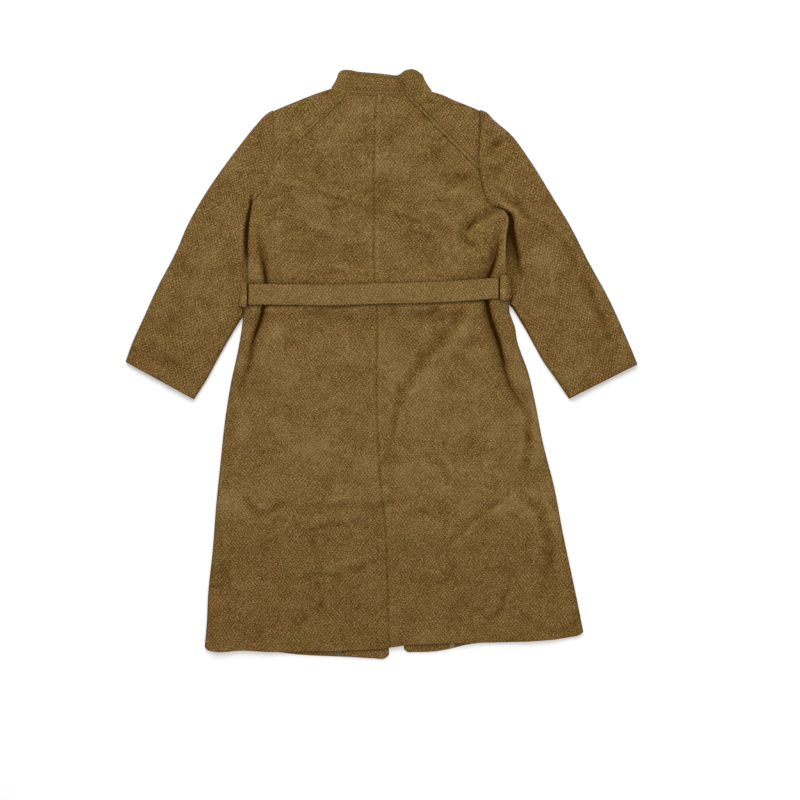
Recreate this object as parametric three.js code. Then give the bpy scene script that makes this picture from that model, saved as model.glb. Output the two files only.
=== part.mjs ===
// A belted midi coat of brown wool tweed, laid out flat and face down: its back lies on its fronts,
// the sleeves lie out at an angle and the belt runs over the back, through two loops and underneath.
// Millimetres. X runs across the coat, Y up its length to the collar, Z up from the surface it lies on.

import * as THREE from "three";

// ---- cloth and gaps
const CLOTH = 2.2; // fulled wool coating
const COLLAR_THICKNESS = 3.0; // two layers of coating with a stiffener, stitched through
const BELT_THICKNESS = 4.0; // coating folded on itself and pressed
const LOOP_THICKNESS = 2.4;
const FACING_THICKNESS = 2.0;
const LINING_THICKNESS = 1.0;
const SEAM_GAP = 0.3; // between pieces that are sewn edge to edge
const LAYER_GAP = 1.2; // air between the back and the fronts
const EDGE_ROLL = 22; // width over which a panel comes down to a folded edge

// ---- belt
const BELT_WIDTH = 42;
const BELT_LEFT_TIP = 78; // x where the belt's left end stops, under the fronts
const BELT_RIGHT_TIP = -8; // x where the right end stops, lying on the left end
const BELT_STEP_START = 110; // the right end begins to climb onto the left end here
const BELT_STEP_END = 86;
const BELT_TURN = { left: -275, right: 257 }; // x of the turns round the coat's sides
const RAMP = 36; // length over which the cloth settles beside the belt
const FLAT_MARGIN = 3; // cloth stays level this far past the belt's edges
const BELT_STIFFNESS = 18; // the belt bridges dips shorter than this
const OVERLAP_ZONE = { from: -40, to: 120, fade: 60 }; // x range where both belt ends lie under the fronts

// The line of the belt's middle across the back.
const BELT_LINE = [
  { x: -285, y: 138 },
  { x: -237, y: 139 },
  { x: -160, y: 138 },
  { x: -100, y: 137 },
  { x: -13, y: 140 },
  { x: 40, y: 141 },
  { x: 118, y: 143 },
  { x: 178, y: 147 },
  { x: 235, y: 152 },
  { x: 270, y: 153 },
];

// ---- outline of the body, one table for each half
const SIDE_EDGE = {
  left: [
    { y: -566, x: -354 },
    { y: -520, x: -350 },
    { y: -458, x: -347 },
    { y: -372, x: -338 },
    { y: -282, x: -331 },
    { y: -202, x: -323 },
    { y: -102, x: -312 },
    { y: -40, x: -302 },
    { y: 30, x: -287 },
    { y: 61, x: -280 },
    { y: 96, x: -276 },
    { y: 139, x: -271 },
    { y: 200, x: -269 },
    { y: 238, x: -269 },
    { y: 276, x: -267 },
    { y: 327, x: -259 },
  ],
  right: [
    { y: -536, x: 404 },
    { y: -480, x: 393 },
    { y: -432, x: 383 },
    { y: -332, x: 362 },
    { y: -252, x: 347 },
    { y: -152, x: 322 },
    { y: -69, x: 306 },
    { y: -8, x: 291 },
    { y: 21, x: 280 },
    { y: 49, x: 271 },
    { y: 74, x: 267 },
    { y: 100, x: 259 },
    { y: 152, x: 255 },
    { y: 200, x: 253 },
    { y: 230, x: 250 },
    { y: 264, x: 249 },
    { y: 295, x: 254 },
    { y: 303, x: 247 },
  ],
};

// Armhole seam from the shoulder point down to the armpit. The yoke seam meets it at YOKE_CORNER.
const ARMHOLE = {
  left: [
    { x: -217, y: 507 },
    { x: -215, y: 470 },
    { x: -215, y: 430 },
    { x: -218, y: 401 },
    { x: -222, y: 380 },
    { x: -230, y: 359 },
    { x: -242, y: 341 },
    { x: -251, y: 331 },
    { x: -259, y: 327 },
  ],
  right: [
    { x: 197, y: 508 },
    { x: 197, y: 466 },
    { x: 195, y: 425 },
    { x: 196, y: 387 },
    { x: 201, y: 363 },
    { x: 208, y: 337 },
    { x: 218, y: 318 },
    { x: 234, y: 306 },
    { x: 247, y: 303 },
  ],
};
const YOKE_CORNER = 3; // row of ARMHOLE where the yoke seam ends

// Shoulder fold and the diagonal yoke seam below it, both from the neck to the armhole.
const SHOULDER = {
  left: [
    { x: -99.5, y: 552.5 },
    { x: -119, y: 546 },
    { x: -148, y: 535.5 },
    { x: -180, y: 522.5 },
    { x: -217, y: 507 },
  ],
  right: [
    { x: 101, y: 545.5 },
    { x: 120, y: 540 },
    { x: 146, y: 528.5 },
    { x: 170, y: 519 },
    { x: 197, y: 508 },
  ],
};
const YOKE_SEAM = {
  left: [
    { x: -74, y: 534 },
    { x: -87, y: 518 },
    { x: -132, y: 478 },
    { x: -172, y: 438 },
    { x: -218, y: 401 },
  ],
  right: [
    { x: 52, y: 532 },
    { x: 91, y: 492 },
    { x: 132, y: 450 },
    { x: 166, y: 416 },
    { x: 196, y: 387 },
  ],
};

// Centre back seam, and the two front edges, which part towards the hem.
const CENTRE_BACK = [
  { y: -570, x: 16 },
  { y: -496, x: 14 },
  { y: -398, x: 11 },
  { y: -332, x: 9 },
  { y: -252, x: 0 },
  { y: -172, x: -5 },
  { y: -72, x: -9 },
  { y: 108, x: -9 },
  { y: 168, x: -13 },
  { y: 322, x: -14 },
  { y: 466, x: -13 },
  { y: 536, x: -9 },
];
const FRONT_EDGE = {
  left: [
    { y: -589, x: 15 },
    { y: 512, x: -3 },
  ],
  right: [
    { y: -577, x: 45 },
    { y: 512, x: 3 },
  ],
};
const FRONT_NECK = {
  left: [
    { y: 511, x: -3 },
    { y: 516, x: -30 },
    { y: 529, x: -60 },
    { y: 549, x: -94.5 },
  ],
  right: [
    { y: 511, x: 3 },
    { y: 515, x: 30 },
    { y: 526, x: 62 },
    { y: 542, x: 94.5 },
  ],
};

// Hem of the back, and of the fronts, which show a little below it.
const BACK_HEM = [
  { x: -354, y: -566 },
  { x: -348, y: -572 },
  { x: -337, y: -574.5 },
  { x: -276, y: -573 },
  { x: -222, y: -576 },
  { x: -142, y: -574 },
  { x: -35, y: -571 },
  { x: 16, y: -567 },
  { x: 50, y: -562 },
  { x: 94, y: -559 },
  { x: 229, y: -557 },
  { x: 299, y: -554.5 },
  { x: 373, y: -547 },
  { x: 398, y: -541 },
  { x: 404, y: -536 },
];
const FRONT_HEM = {
  left: [
    { x: -354, y: -566 },
    { x: -337, y: -573 },
    { x: -276, y: -572.5 },
    { x: -212, y: -576.5 },
    { x: -169, y: -581.5 },
    { x: -115, y: -584.5 },
    { x: -62, y: -586.5 },
    { x: -20, y: -589 },
    { x: 15, y: -587 },
  ],
  right: [
    { x: 45, y: -575 },
    { x: 65, y: -576.5 },
    { x: 109, y: -575 },
    { x: 135, y: -570.5 },
    { x: 171, y: -562 },
    { x: 299, y: -554 },
    { x: 373, y: -546.5 },
    { x: 404, y: -536 },
  ],
};
const HEM_FADE = 110; // the hem's curve dies out over this height

// Rows of the body panels from hem to armpit: heights at the centre back and at each side edge.
const BODY_ROWS = [
  { centre: -567, left: -566, right: -536 },
  { centre: -517, left: -520, right: -495 },
  { centre: -462, left: -465, right: -445 },
  { centre: -405, left: -410, right: -393 },
  { centre: -345, left: -350, right: -335 },
  { centre: -285, left: -290, right: -277 },
  { centre: -225, left: -230, right: -219 },
  { centre: -168, left: -172, right: -162 },
  { centre: -114, left: -118, right: -108 },
  { centre: -64, left: -68, right: -57 },
  { centre: -18, left: -20, right: -11 },
  { centre: 22, left: 20, right: 30 },
  { centre: 52, left: 51, right: 62 },
  { centre: 234, left: 236, right: 240 },
  { centre: 266, left: 272, right: 262 },
  { centre: 293, left: 300, right: 285 },
  { centre: 315, left: 327, right: 303 },
];
const BELT_ROWS = [-62, -47, -35, -24, 0, 24, 35, 47, 62]; // rows beside the belt, from its middle
// Heights at the centre back of the rows that start on the armhole and on the yoke seam.
const UPPER_ROWS = [319, 330, 348, 371, 394, 427, 464, 505, 534];

// Columns of a panel: distances in from the side edge, then shares of what is left of the width.
const BACK_EDGE_COLUMNS = [0, 7, 14, 21, 28, 36, 46, 62];
const BACK_INNER_COLUMNS = [0.2, 0.4, 0.6, 0.8, 1];
const FRONT_COLUMNS = [0, 0.05, 0.2, 0.45, 0.7, 0.9, 1];
const NARROW_WIDTH = 190; // panels narrower than this squeeze their edge columns together

// Deep tucks where the belt gathers the back: distance in from the side edge, and the puff beside it.
const TUCKS = {
  left: [
    { y: 300, inset: 18, rise: 0 },
    { y: 262, inset: 21, rise: 3 },
    { y: 209, inset: 29, rise: 7 },
    { y: 164, inset: 38, rise: 8 },
    { y: 118, inset: 38, rise: 8 },
    { y: 74, inset: 31, rise: 7 },
    { y: 30, inset: 28, rise: 5 },
    { y: -23, inset: 27, rise: 3 },
    { y: -90, inset: 22, rise: 0 },
  ],
  right: [
    { y: 285, inset: 14, rise: 0 },
    { y: 246, inset: 16, rise: 4 },
    { y: 192, inset: 31, rise: 8 },
    { y: 172, inset: 40, rise: 8 },
    { y: 127, inset: 43, rise: 8 },
    { y: 76, inset: 43, rise: 8 },
    { y: 15, inset: 40, rise: 7 },
    { y: -54, inset: 38, rise: 4 },
    { y: -140, inset: 24, rise: 0 },
  ],
};
const TUCK_WIDTH = 7; // half width of the trough
const PUFF_REACH = { full: 45, end: 120 }; // how far in from the tuck the cloth stays raised

// ---- sleeves, each edge from the armhole to the cuff
const SLEEVE_OUTER = {
  left: [
    { x: -218, y: 508.5 },
    { x: -226, y: 504 },
    { x: -236, y: 496 },
    { x: -252, y: 478 },
    { x: -299, y: 418 },
    { x: -353, y: 341 },
    { x: -391, y: 273 },
    { x: -410, y: 228 },
    { x: -447, y: 157 },
    { x: -480, y: 85 },
    { x: -501, y: 38 },
    { x: -512.5, y: 5 },
  ],
  right: [
    { x: 198, y: 509.5 },
    { x: 211, y: 504 },
    { x: 223, y: 491 },
    { x: 259, y: 460 },
    { x: 298, y: 407 },
    { x: 342, y: 336 },
    { x: 380, y: 273 },
    { x: 413, y: 208 },
    { x: 455, y: 131 },
    { x: 476, y: 86 },
    { x: 498, y: 35 },
    { x: 512.5, y: 0 },
  ],
};
const SLEEVE_INNER = {
  left: [
    { x: -260, y: 328.5 },
    { x: -264.5, y: 325.5 },
    { x: -268, y: 312 },
    { x: -272, y: 290 },
    { x: -275, y: 262 },
    { x: -276.5, y: 200 },
    { x: -284, y: 168 },
    { x: -285, y: 112 },
    { x: -288, y: 84 },
    { x: -306, y: 50 },
    { x: -328, y: 11 },
    { x: -349, y: -28 },
    { x: -375.5, y: -70 },
  ],
  right: [
    { x: 248, y: 304.6 },
    { x: 253.5, y: 303.5 },
    { x: 258.5, y: 298 },
    { x: 260.5, y: 286 },
    { x: 261, y: 262 },
    { x: 263, y: 204 },
    { x: 267, y: 178 },
    { x: 268.5, y: 122 },
    { x: 276, y: 96 },
    { x: 304, y: 41 },
    { x: 325, y: 4 },
    { x: 347, y: -27 },
    { x: 375.5, y: -69 },
  ],
};
const SLEEVE_SECTIONS = 13;
const FIRST_SECTION = 0.012; // the second section, just past the armhole, as a share of the length
const SECTION_SPREAD = 1.3; // above 1, sections stand closer together near the armhole
const ARMHOLE_REACH = 0.45; // share of the sleeve over which the armhole's curve dies out
const UNDERARM = { from: 0.6, to: 0.95 }; // share of the sleeve's width where it turns in under the arm
const SLEEVE_PUFF = 2.2; // the upper layer's rise in the middle of the sleeve

// ---- collar: its lower edge (base) and upper edge (top), from one front end round the neck to the other
const COLLAR_FRONT = {
  left: [
    { baseX: -3, baseY: 512, topX: -3, topY: 556 },
    { baseX: -30, baseY: 517, topX: -26, topY: 560 },
    { baseX: -60, baseY: 530, topX: -51, topY: 570 },
    { baseX: -86, baseY: 546, topX: -72, topY: 581 },
  ],
  right: [
    { baseX: 88, baseY: 543, topX: 70, topY: 579 },
    { baseX: 62, baseY: 527, topX: 50, topY: 569 },
    { baseX: 30, baseY: 516, topX: 26, topY: 560 },
    { baseX: 3, baseY: 512, topX: 3, topY: 556 },
  ],
};
const COLLAR_FOLD = {
  left: { baseX: -98, baseY: 553.5, topX: -83, topY: 582 },
  right: { baseX: 99, baseY: 546.5, topX: 80, topY: 579 },
};
const COLLAR_BACK = [
  { baseX: -87, baseY: 545, topX: -73, topY: 588 },
  { baseX: -73, baseY: 537, topX: -60, topY: 587.5 },
  { baseX: -45, baseY: 536.3, topX: -45, topY: 583.5 },
  { baseX: -9, baseY: 536.3, topX: -9, topY: 581.5 },
  { baseX: 25, baseY: 536, topX: 26, topY: 577 },
  { baseX: 37, baseY: 535, topX: 36, topY: 580.5 },
  { baseX: 51, baseY: 534.5, topX: 50, topY: 588 },
  { baseX: 68, baseY: 538, topX: 62, topY: 589 },
  { baseX: 88, baseY: 543.5, topX: 72, topY: 586 },
];
const COLLAR_INNER_GAP = 1.0; // air inside the flattened collar

// ---- belt loops on the side seams
const LOOP_LENGTH = 51;
const LOOPS = {
  left: { x: -268.5, width: 11 },
  right: { x: 243, width: 14 },
};

// ---- facings and lining, seen where the fronts come out under the back's hem
const HEM_TURN = 2; // they stop this far above the fronts' hem
const INSIDE_TOP = -500; // height to which the inside pieces reach
const FACINGS = {
  left: { from: -80, to: 12 },
  right: { from: 48, to: 136 },
};
const LININGS = {
  left: { from: -90, to: -80.4 },
  right: { from: 136.4, to: 146 },
};
const INSIDE_LIFT = { from: -130, to: 165, top: -458, fade: 55, height: 1.6 }; // room for them under the back

// ---- finishes
const COLOURS = { tweed: 0x735a33, yoke: 0x755c34, lining: 0x776a55 };

// ================================================================ arithmetic on tables

function mix(a, b, share) {
  return a + (b - a) * share;
}

// 0 up to `start`, 1 from `end` on, smooth between them.
function smoothRise(value, start, end) {
  const share = Math.min(1, Math.max(0, (value - start) / (end - start)));
  return share * share * (3 - 2 * share);
}

// Reads `column` of a table where its `key` column passes `value`; the ends hold past the table.
function readTable(table, key, value, column) {
  const rows = [...table].sort((a, b) => a[key] - b[key]);
  if (value <= rows[0][key]) return rows[0][column];
  for (let i = 1; i < rows.length; i += 1) {
    if (value <= rows[i][key]) {
      const share = (value - rows[i - 1][key]) / (rows[i][key] - rows[i - 1][key]);
      return mix(rows[i - 1][column], rows[i][column], share);
    }
  }
  return rows[rows.length - 1][column];
}

// Shares of a line's length at which its points stand, from 0 to 1.
function lengthShares(line) {
  const reach = [0];
  for (let i = 1; i < line.length; i += 1) {
    reach.push(reach[i - 1] + Math.hypot(line[i].x - line[i - 1].x, line[i].y - line[i - 1].y));
  }
  return reach.map((length) => length / reach[reach.length - 1]);
}

// The point at a share of a line's length.
function pointOnLine(line, share) {
  const shares = lengthShares(line);
  let i = 1;
  while (i < line.length - 1 && shares[i] < share) i += 1;
  const local = (share - shares[i - 1]) / (shares[i] - shares[i - 1]);
  return {
    x: mix(line[i - 1].x, line[i].x, local),
    y: mix(line[i - 1].y, line[i].y, local),
  };
}

// ================================================================ heights of the layers

// Height to which the belt's ends lift the cloth that lies on them.
function beltLift(x, y) {
  const away = Math.abs(y - readTable(BELT_LINE, "x", x, "y"));
  const level = BELT_WIDTH / 2 + FLAT_MARGIN;
  const over = 1 - smoothRise(away, level, level + RAMP);
  const zone = OVERLAP_ZONE;
  const entering = smoothRise(x, zone.from - zone.fade, zone.from);
  const leaving = 1 - smoothRise(x, zone.to, zone.to + zone.fade);
  return (BELT_THICKNESS + SEAM_GAP) * (1 + entering * leaving) * over;
}

// Rise of the back over the facings and the lining at the hem.
function insideLift(x, y) {
  const zone = INSIDE_LIFT;
  const across = smoothRise(x, zone.from - zone.fade, zone.from) * (1 - smoothRise(x, zone.to, zone.to + zone.fade));
  return zone.height * across * (1 - smoothRise(y, zone.top, zone.top + zone.fade));
}

// Rise of the back beside the tucks; `inward` is the distance from the side edge.
function tuckRise(side, inward, x, y) {
  const table = TUCKS[side];
  const away = Math.abs(y - readTable(BELT_LINE, "x", x, "y"));
  const beside = smoothRise(away, BELT_WIDTH / 2 + FLAT_MARGIN, BELT_WIDTH / 2 + RAMP);
  const offset = inward - readTable(table, "y", y, "inset");
  const trough = Math.exp(-((offset / TUCK_WIDTH) ** 2));
  const puff = 1 - smoothRise(offset, PUFF_REACH.full, PUFF_REACH.end);
  const edge = smoothRise(inward, 0, EDGE_ROLL);
  return readTable(table, "y", y, "rise") * beside * edge * puff * (1 - trough);
}

// Underside of the back, which comes down to the fronts at its side edge.
function backUnderside(side, inward, x, y) {
  const gap = mix(SEAM_GAP, LAYER_GAP, smoothRise(inward, 0, EDGE_ROLL));
  return beltLift(x, y) + CLOTH + gap + insideLift(x, y) + tuckRise(side, inward, x, y);
}

// ================================================================ solids

// A closed wall between two skins. grid[row][column] = { under: [x, y, z], over: [x, y, z] }.
// With `ring` the columns close on themselves, as round a sleeve.
function wallGeometry(grid, ring = false) {
  const rows = grid.length;
  const columns = grid[0].length;
  const skins = ["under", "over"];
  const positions = skins.flatMap((skin) => grid.flatMap((row) => row.flatMap((place) => place[skin])));
  const index = (skin, row, column) => (skin * rows + row) * columns + (column % columns);
  const faces = [];
  const quad = (a, b, c, d) => faces.push(a, b, c, a, c, d);
  const cells = ring ? columns : columns - 1;
  for (let row = 0; row < rows - 1; row += 1) {
    for (let column = 0; column < cells; column += 1) {
      quad(index(1, row, column), index(1, row, column + 1), index(1, row + 1, column + 1), index(1, row + 1, column));
      quad(index(0, row, column), index(0, row + 1, column), index(0, row + 1, column + 1), index(0, row, column + 1));
    }
  }
  for (let column = 0; column < cells; column += 1) {
    quad(index(0, 0, column), index(0, 0, column + 1), index(1, 0, column + 1), index(1, 0, column));
    const last = rows - 1;
    quad(index(1, last, column), index(1, last, column + 1), index(0, last, column + 1), index(0, last, column));
  }
  if (!ring) {
    for (let row = 0; row < rows - 1; row += 1) {
      quad(index(1, row, 0), index(1, row + 1, 0), index(0, row + 1, 0), index(0, row, 0));
      const last = columns - 1;
      quad(index(0, row, last), index(0, row + 1, last), index(1, row + 1, last), index(1, row, last));
    }
  }
  const geometry = new THREE.BufferGeometry();
  geometry.setAttribute("position", new THREE.Float32BufferAttribute(positions, 3));
  geometry.setIndex(signedVolume(positions, faces) < 0 ? turnedFaces(faces) : faces);
  geometry.computeVertexNormals();
  return geometry;
}

function signedVolume(positions, faces) {
  const corner = (i) => new THREE.Vector3(...positions.slice(3 * i, 3 * i + 3));
  let volume = 0;
  for (let i = 0; i < faces.length; i += 3) {
    volume += corner(faces[i]).dot(corner(faces[i + 1]).cross(corner(faces[i + 2]))) / 6;
  }
  return volume;
}

function turnedFaces(faces) {
  const turned = [];
  for (let i = 0; i < faces.length; i += 3) {
    turned.push(faces[i], faces[i + 2], faces[i + 1]);
  }
  return turned;
}

// A strap of even thickness along stations; each station gives the middle of the strap at its two edges.
function strapGrid(stations, thickness, crossings = [0, 1]) {
  const middles = stations.map((station) => station.start.clone().lerp(station.end, 0.5));
  return stations.map((station, i) => {
    const before = middles[Math.max(0, i - 1)];
    const after = middles[Math.min(stations.length - 1, i + 1)];
    const along = after.clone().sub(before);
    const across = station.end.clone().sub(station.start);
    const normal = along.cross(across).normalize().multiplyScalar(thickness / 2);
    return crossings.map((share) => {
      const middle = station.start.clone().lerp(station.end, share);
      return {
        under: middle.clone().sub(normal).toArray(),
        over: middle.clone().add(normal).toArray(),
      };
    });
  });
}

// ================================================================ body panels

// Rows of a body panel from hem to armpit, those beside the belt included: heights at the side and the centre.
function bodyRows(side) {
  const beltAt = (x) => readTable(BELT_LINE, "x", x, "y");
  const besideBelt = BELT_ROWS.map((offset) => ({
    edge: beltAt(BELT_TURN[side]) + offset,
    centre: beltAt(readTable(CENTRE_BACK, "y", offset, "x")) + offset,
  }));
  const others = BODY_ROWS.map((row) => ({ edge: row[side], centre: row.centre }));
  return [...others, ...besideBelt].sort((a, b) => a.centre - b.centre);
}

// Height of a row at x: straight from the side edge to the centre, but following the belt and the hem.
function rowHeight(side, row, edgeX, x, hem) {
  const centreX = readTable(CENTRE_BACK, "y", row.centre, "x");
  const share = (x - edgeX) / (centreX - edgeX);
  const straight = mix(row.edge, row.centre, share);
  const beltAt = (place) => readTable(BELT_LINE, "x", place, "y");
  const beltBend = beltAt(x) - mix(beltAt(edgeX), beltAt(centreX), share);
  const nearBelt = 1 - smoothRise(Math.abs(row.centre - beltAt(centreX)), BELT_WIDTH, BELT_WIDTH + RAMP);
  const lowest = BODY_ROWS[0];
  const hemBend = readTable(hem, "x", x, "y") - mix(lowest[side], lowest.centre, share);
  const nearHem = 1 - smoothRise(row.centre - lowest.centre, 0, HEM_FADE);
  return straight + beltBend * nearBelt + hemBend * nearHem;
}

function upward(line) {
  return [...line].sort((a, b) => a.y - b.y);
}

function backPanel(side) {
  const inwardSign = side === "left" ? 1 : -1;
  const armhole = upward(ARMHOLE[side].slice(YOKE_CORNER));
  const yokeSeam = upward(YOKE_SEAM[side]);
  const edge = [...SIDE_EDGE[side].slice(0, -1), ...armhole, ...yokeSeam.slice(1)];
  const upperEdge = [...armhole.slice(1), ...yokeSeam.slice(1)];
  const upperRows = upperEdge.map((point, i) => ({ edge: point.y, centre: UPPER_ROWS[i] }));
  const armpit = armhole[0].y;
  const grid = [...bodyRows(side), ...upperRows].map((row) => {
    const edgeX = readTable(edge, "y", row.edge, "x");
    const seamX = readTable(CENTRE_BACK, "y", row.centre, "x") - (inwardSign * SEAM_GAP) / 2;
    const width = Math.abs(seamX - edgeX);
    const squeeze = Math.min(1, width / NARROW_WIDTH);
    const lastEdge = BACK_EDGE_COLUMNS[BACK_EDGE_COLUMNS.length - 1] * squeeze;
    const columns = [
      ...BACK_EDGE_COLUMNS.map((distance) => distance * squeeze),
      ...BACK_INNER_COLUMNS.map((share) => mix(lastEdge, width, share)),
    ];
    const pastFold = smoothRise(row.edge, armpit, armpit + EDGE_ROLL);
    return columns.map((inward) => {
      const x = edgeX + inwardSign * inward;
      const y = rowHeight(side, row, edgeX, x, BACK_HEM);
      const z = backUnderside(side, mix(inward, EDGE_ROLL, pastFold), x, y);
      return { under: [x, y, z], over: [x, y, z + CLOTH] };
    });
  });
  return wallGeometry(grid);
}

function frontPanel(side) {
  const armhole = upward(ARMHOLE[side]);
  const neckTop = FRONT_NECK[side][FRONT_NECK[side].length - 1].y;
  const shoulder = upward(SHOULDER[side]).slice(1);
  const edge = [...SIDE_EDGE[side].slice(0, -1), ...armhole, ...shoulder];
  const innerEdge = [...FRONT_EDGE[side], ...FRONT_NECK[side].slice(1)];
  const neck = FRONT_NECK[side].slice(1);
  const upperHeights = [...armhole.slice(1), ...shoulder, ...neck].map((point) => point.y);
  const upperRows = upperHeights.filter((y) => y <= neckTop).sort((a, b) => a - b).map((y) => ({ edge: y, centre: y }));
  const grid = [...bodyRows(side), ...upperRows].map((row) => {
    const edgeX = readTable(edge, "y", row.edge, "x");
    const innerX = readTable(innerEdge, "y", row.centre, "x");
    return FRONT_COLUMNS.map((share) => {
      const x = mix(edgeX, innerX, share);
      const y = rowHeight(side, row, edgeX, x, FRONT_HEM[side]);
      const z = beltLift(x, y);
      return { under: [x, y, z], over: [x, y, z + CLOTH] };
    });
  });
  return wallGeometry(grid);
}

function yokePanel(side) {
  const seamRise = SEAM_GAP * Math.SQRT2; // the seam's gap measured upright, as the seam slants
  const armhole = ARMHOLE[side].slice(0, YOKE_CORNER + 1);
  const drops = lengthShares(armhole);
  const shoulder = SHOULDER[side];
  const seam = YOKE_SEAM[side];
  const grid = shoulder.map((top, i) => {
    const toArmhole = (i / (shoulder.length - 1)) ** 4;
    return drops.flatMap((drop, k) => (k === 0 ? [0, drops[1] * 0.4] : [drop])).map((drop) => {
      const last = shoulder.length - 1;
      const onArmhole = pointOnLine(armhole, drop);
      const bowX = (onArmhole.x - mix(shoulder[last].x, seam[last].x, drop)) * toArmhole;
      const bowY = (onArmhole.y - mix(shoulder[last].y, seam[last].y, drop)) * toArmhole;
      const x = mix(top.x, seam[i].x, drop) + bowX;
      const y = mix(top.y, seam[i].y, drop) + bowY + seamRise * drop;
      const fromFold = drop * Math.hypot(top.x - seam[i].x, top.y - seam[i].y);
      const z = CLOTH + mix(SEAM_GAP, LAYER_GAP, smoothRise(fromFold, 0, EDGE_ROLL));
      return { under: [x, y, z], over: [x, y, z + CLOTH] };
    });
  });
  return wallGeometry(grid);
}

// ================================================================ sleeves

// Armhole line moved off the body by the seam gap, so that the sleeve's end lies beside it.
function sleeveHead(side) {
  const line = ARMHOLE[side];
  const turn = side === "left" ? 1 : -1;
  return line.map((point, i) => {
    const before = line[Math.max(0, i - 1)];
    const after = line[Math.min(line.length - 1, i + 1)];
    const length = Math.hypot(after.x - before.x, after.y - before.y);
    const outX = (turn * (after.y - before.y)) / length;
    const outY = (-turn * (after.x - before.x)) / length;
    return { x: point.x + outX * SEAM_GAP * 1.5, y: point.y + outY * SEAM_GAP * 1.5 };
  });
}

function sleeveTube(side) {
  const head = sleeveHead(side);
  const headShares = lengthShares(head);
  const foldRadius = (CLOTH + LAYER_GAP) / 2;
  const inset = CLOTH / 2 + foldRadius;
  const grid = [];
  for (let section = 0; section < SLEEVE_SECTIONS; section += 1) {
    const spread = ((section - 1) / (SLEEVE_SECTIONS - 2)) ** SECTION_SPREAD;
    const down = section === 0 ? 0 : mix(FIRST_SECTION, 1, spread);
    const outer = section === 0 ? head[0] : pointOnLine(SLEEVE_OUTER[side], down);
    const inner = section === 0 ? head[head.length - 1] : pointOnLine(SLEEVE_INNER[side], down);
    const width = Math.hypot(inner.x - outer.x, inner.y - outer.y);
    const dirX = (inner.x - outer.x) / width;
    const dirY = (inner.y - outer.y) / width;
    const reach = (1 - smoothRise(down, 0, ARMHOLE_REACH)) ** 1.5;
    const place = (distance, z) => {
      const share = Math.min(1, Math.max(0, distance / width));
      const bow = reach * (section === 0 ? 1 : 1 - smoothRise(share, UNDERARM.from, UNDERARM.to));
      const onHead = pointOnLine(head, share);
      const bowX = (onHead.x - mix(head[0].x, head[head.length - 1].x, share)) * bow;
      const bowY = (onHead.y - mix(head[0].y, head[head.length - 1].y, share)) * bow;
      return [outer.x + dirX * distance + bowX, outer.y + dirY * distance + bowY, z];
    };
    const puff = (share) => SLEEVE_PUFF * Math.sin(Math.PI * share) * smoothRise(down, 0, 0.15);
    const levels = headShares.map((share) => Math.min(width - inset, Math.max(inset, share * width)));
    const ring = levels.map((distance) => ({ under: place(distance, 0), over: place(distance, CLOTH) }));
    const foldPoints = (middle, outward) => [-45, 0, 45].map((degrees) => {
      const angle = THREE.MathUtils.degToRad(degrees);
      const at = (radius) => place(middle + outward * radius * Math.cos(angle), inset + radius * Math.sin(angle));
      return { under: at(foldRadius + CLOTH / 2), over: at(foldRadius - CLOTH / 2) };
    });
    ring.push(...foldPoints(width - inset, 1));
    for (const distance of [...levels].reverse()) {
      const z = CLOTH + LAYER_GAP + puff(distance / width);
      ring.push({ under: place(distance, z + CLOTH), over: place(distance, z) });
    }
    ring.push(...foldPoints(inset, -1).reverse());
    grid.push(ring);
  }
  return wallGeometry(grid, true);
}

// ================================================================ collar, belt and loops

function collarStation(row, z) {
  return {
    start: new THREE.Vector3(row.baseX, row.baseY, z),
    end: new THREE.Vector3(row.topX, row.topY, z),
  };
}

// The collar folded in half round the neck: front ends underneath, the back of it on top.
function collarBand() {
  const low = COLLAR_THICKNESS / 2;
  const radius = (COLLAR_THICKNESS + COLLAR_INNER_GAP) / 2;
  const high = low + 2 * radius;
  const foldStations = (side, degrees) => {
    const row = COLLAR_FOLD[side];
    const outward = side === "left" ? -1 : 1;
    return degrees.map((angle) => {
      const turn = THREE.MathUtils.degToRad(angle);
      const shift = outward * (radius * Math.cos(turn) - radius - COLLAR_THICKNESS / 2);
      const z = low + radius + radius * Math.sin(turn);
      return collarStation({ ...row, baseX: row.baseX + shift, topX: row.topX + shift }, z);
    });
  };
  const upwards = [-60, 0, 60];
  const stations = [
    ...COLLAR_FRONT.left.map((row) => collarStation(row, low)),
    ...foldStations("left", upwards),
    ...COLLAR_BACK.map((row) => collarStation(row, high)),
    ...foldStations("right", [...upwards].reverse()),
    ...COLLAR_FRONT.right.map((row) => collarStation(row, low)),
  ];
  return wallGeometry(strapGrid(stations, COLLAR_THICKNESS, [0, 0.5, 1]));
}

// Height of the middle of the belt where it lies over the back, clear of the cloth a little either side.
function beltTop(x) {
  const y = readTable(BELT_LINE, "x", x, "y");
  const lift = Math.max(beltLift(x - BELT_STIFFNESS, y), beltLift(x + BELT_STIFFNESS, y));
  return lift + 2 * CLOTH + LAYER_GAP + SEAM_GAP + BELT_THICKNESS / 2;
}

function beltStation(x, z) {
  const y = readTable(BELT_LINE, "x", x, "y");
  return {
    start: new THREE.Vector3(x, y - BELT_WIDTH / 2, z),
    end: new THREE.Vector3(x, y + BELT_WIDTH / 2, z),
  };
}

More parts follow.
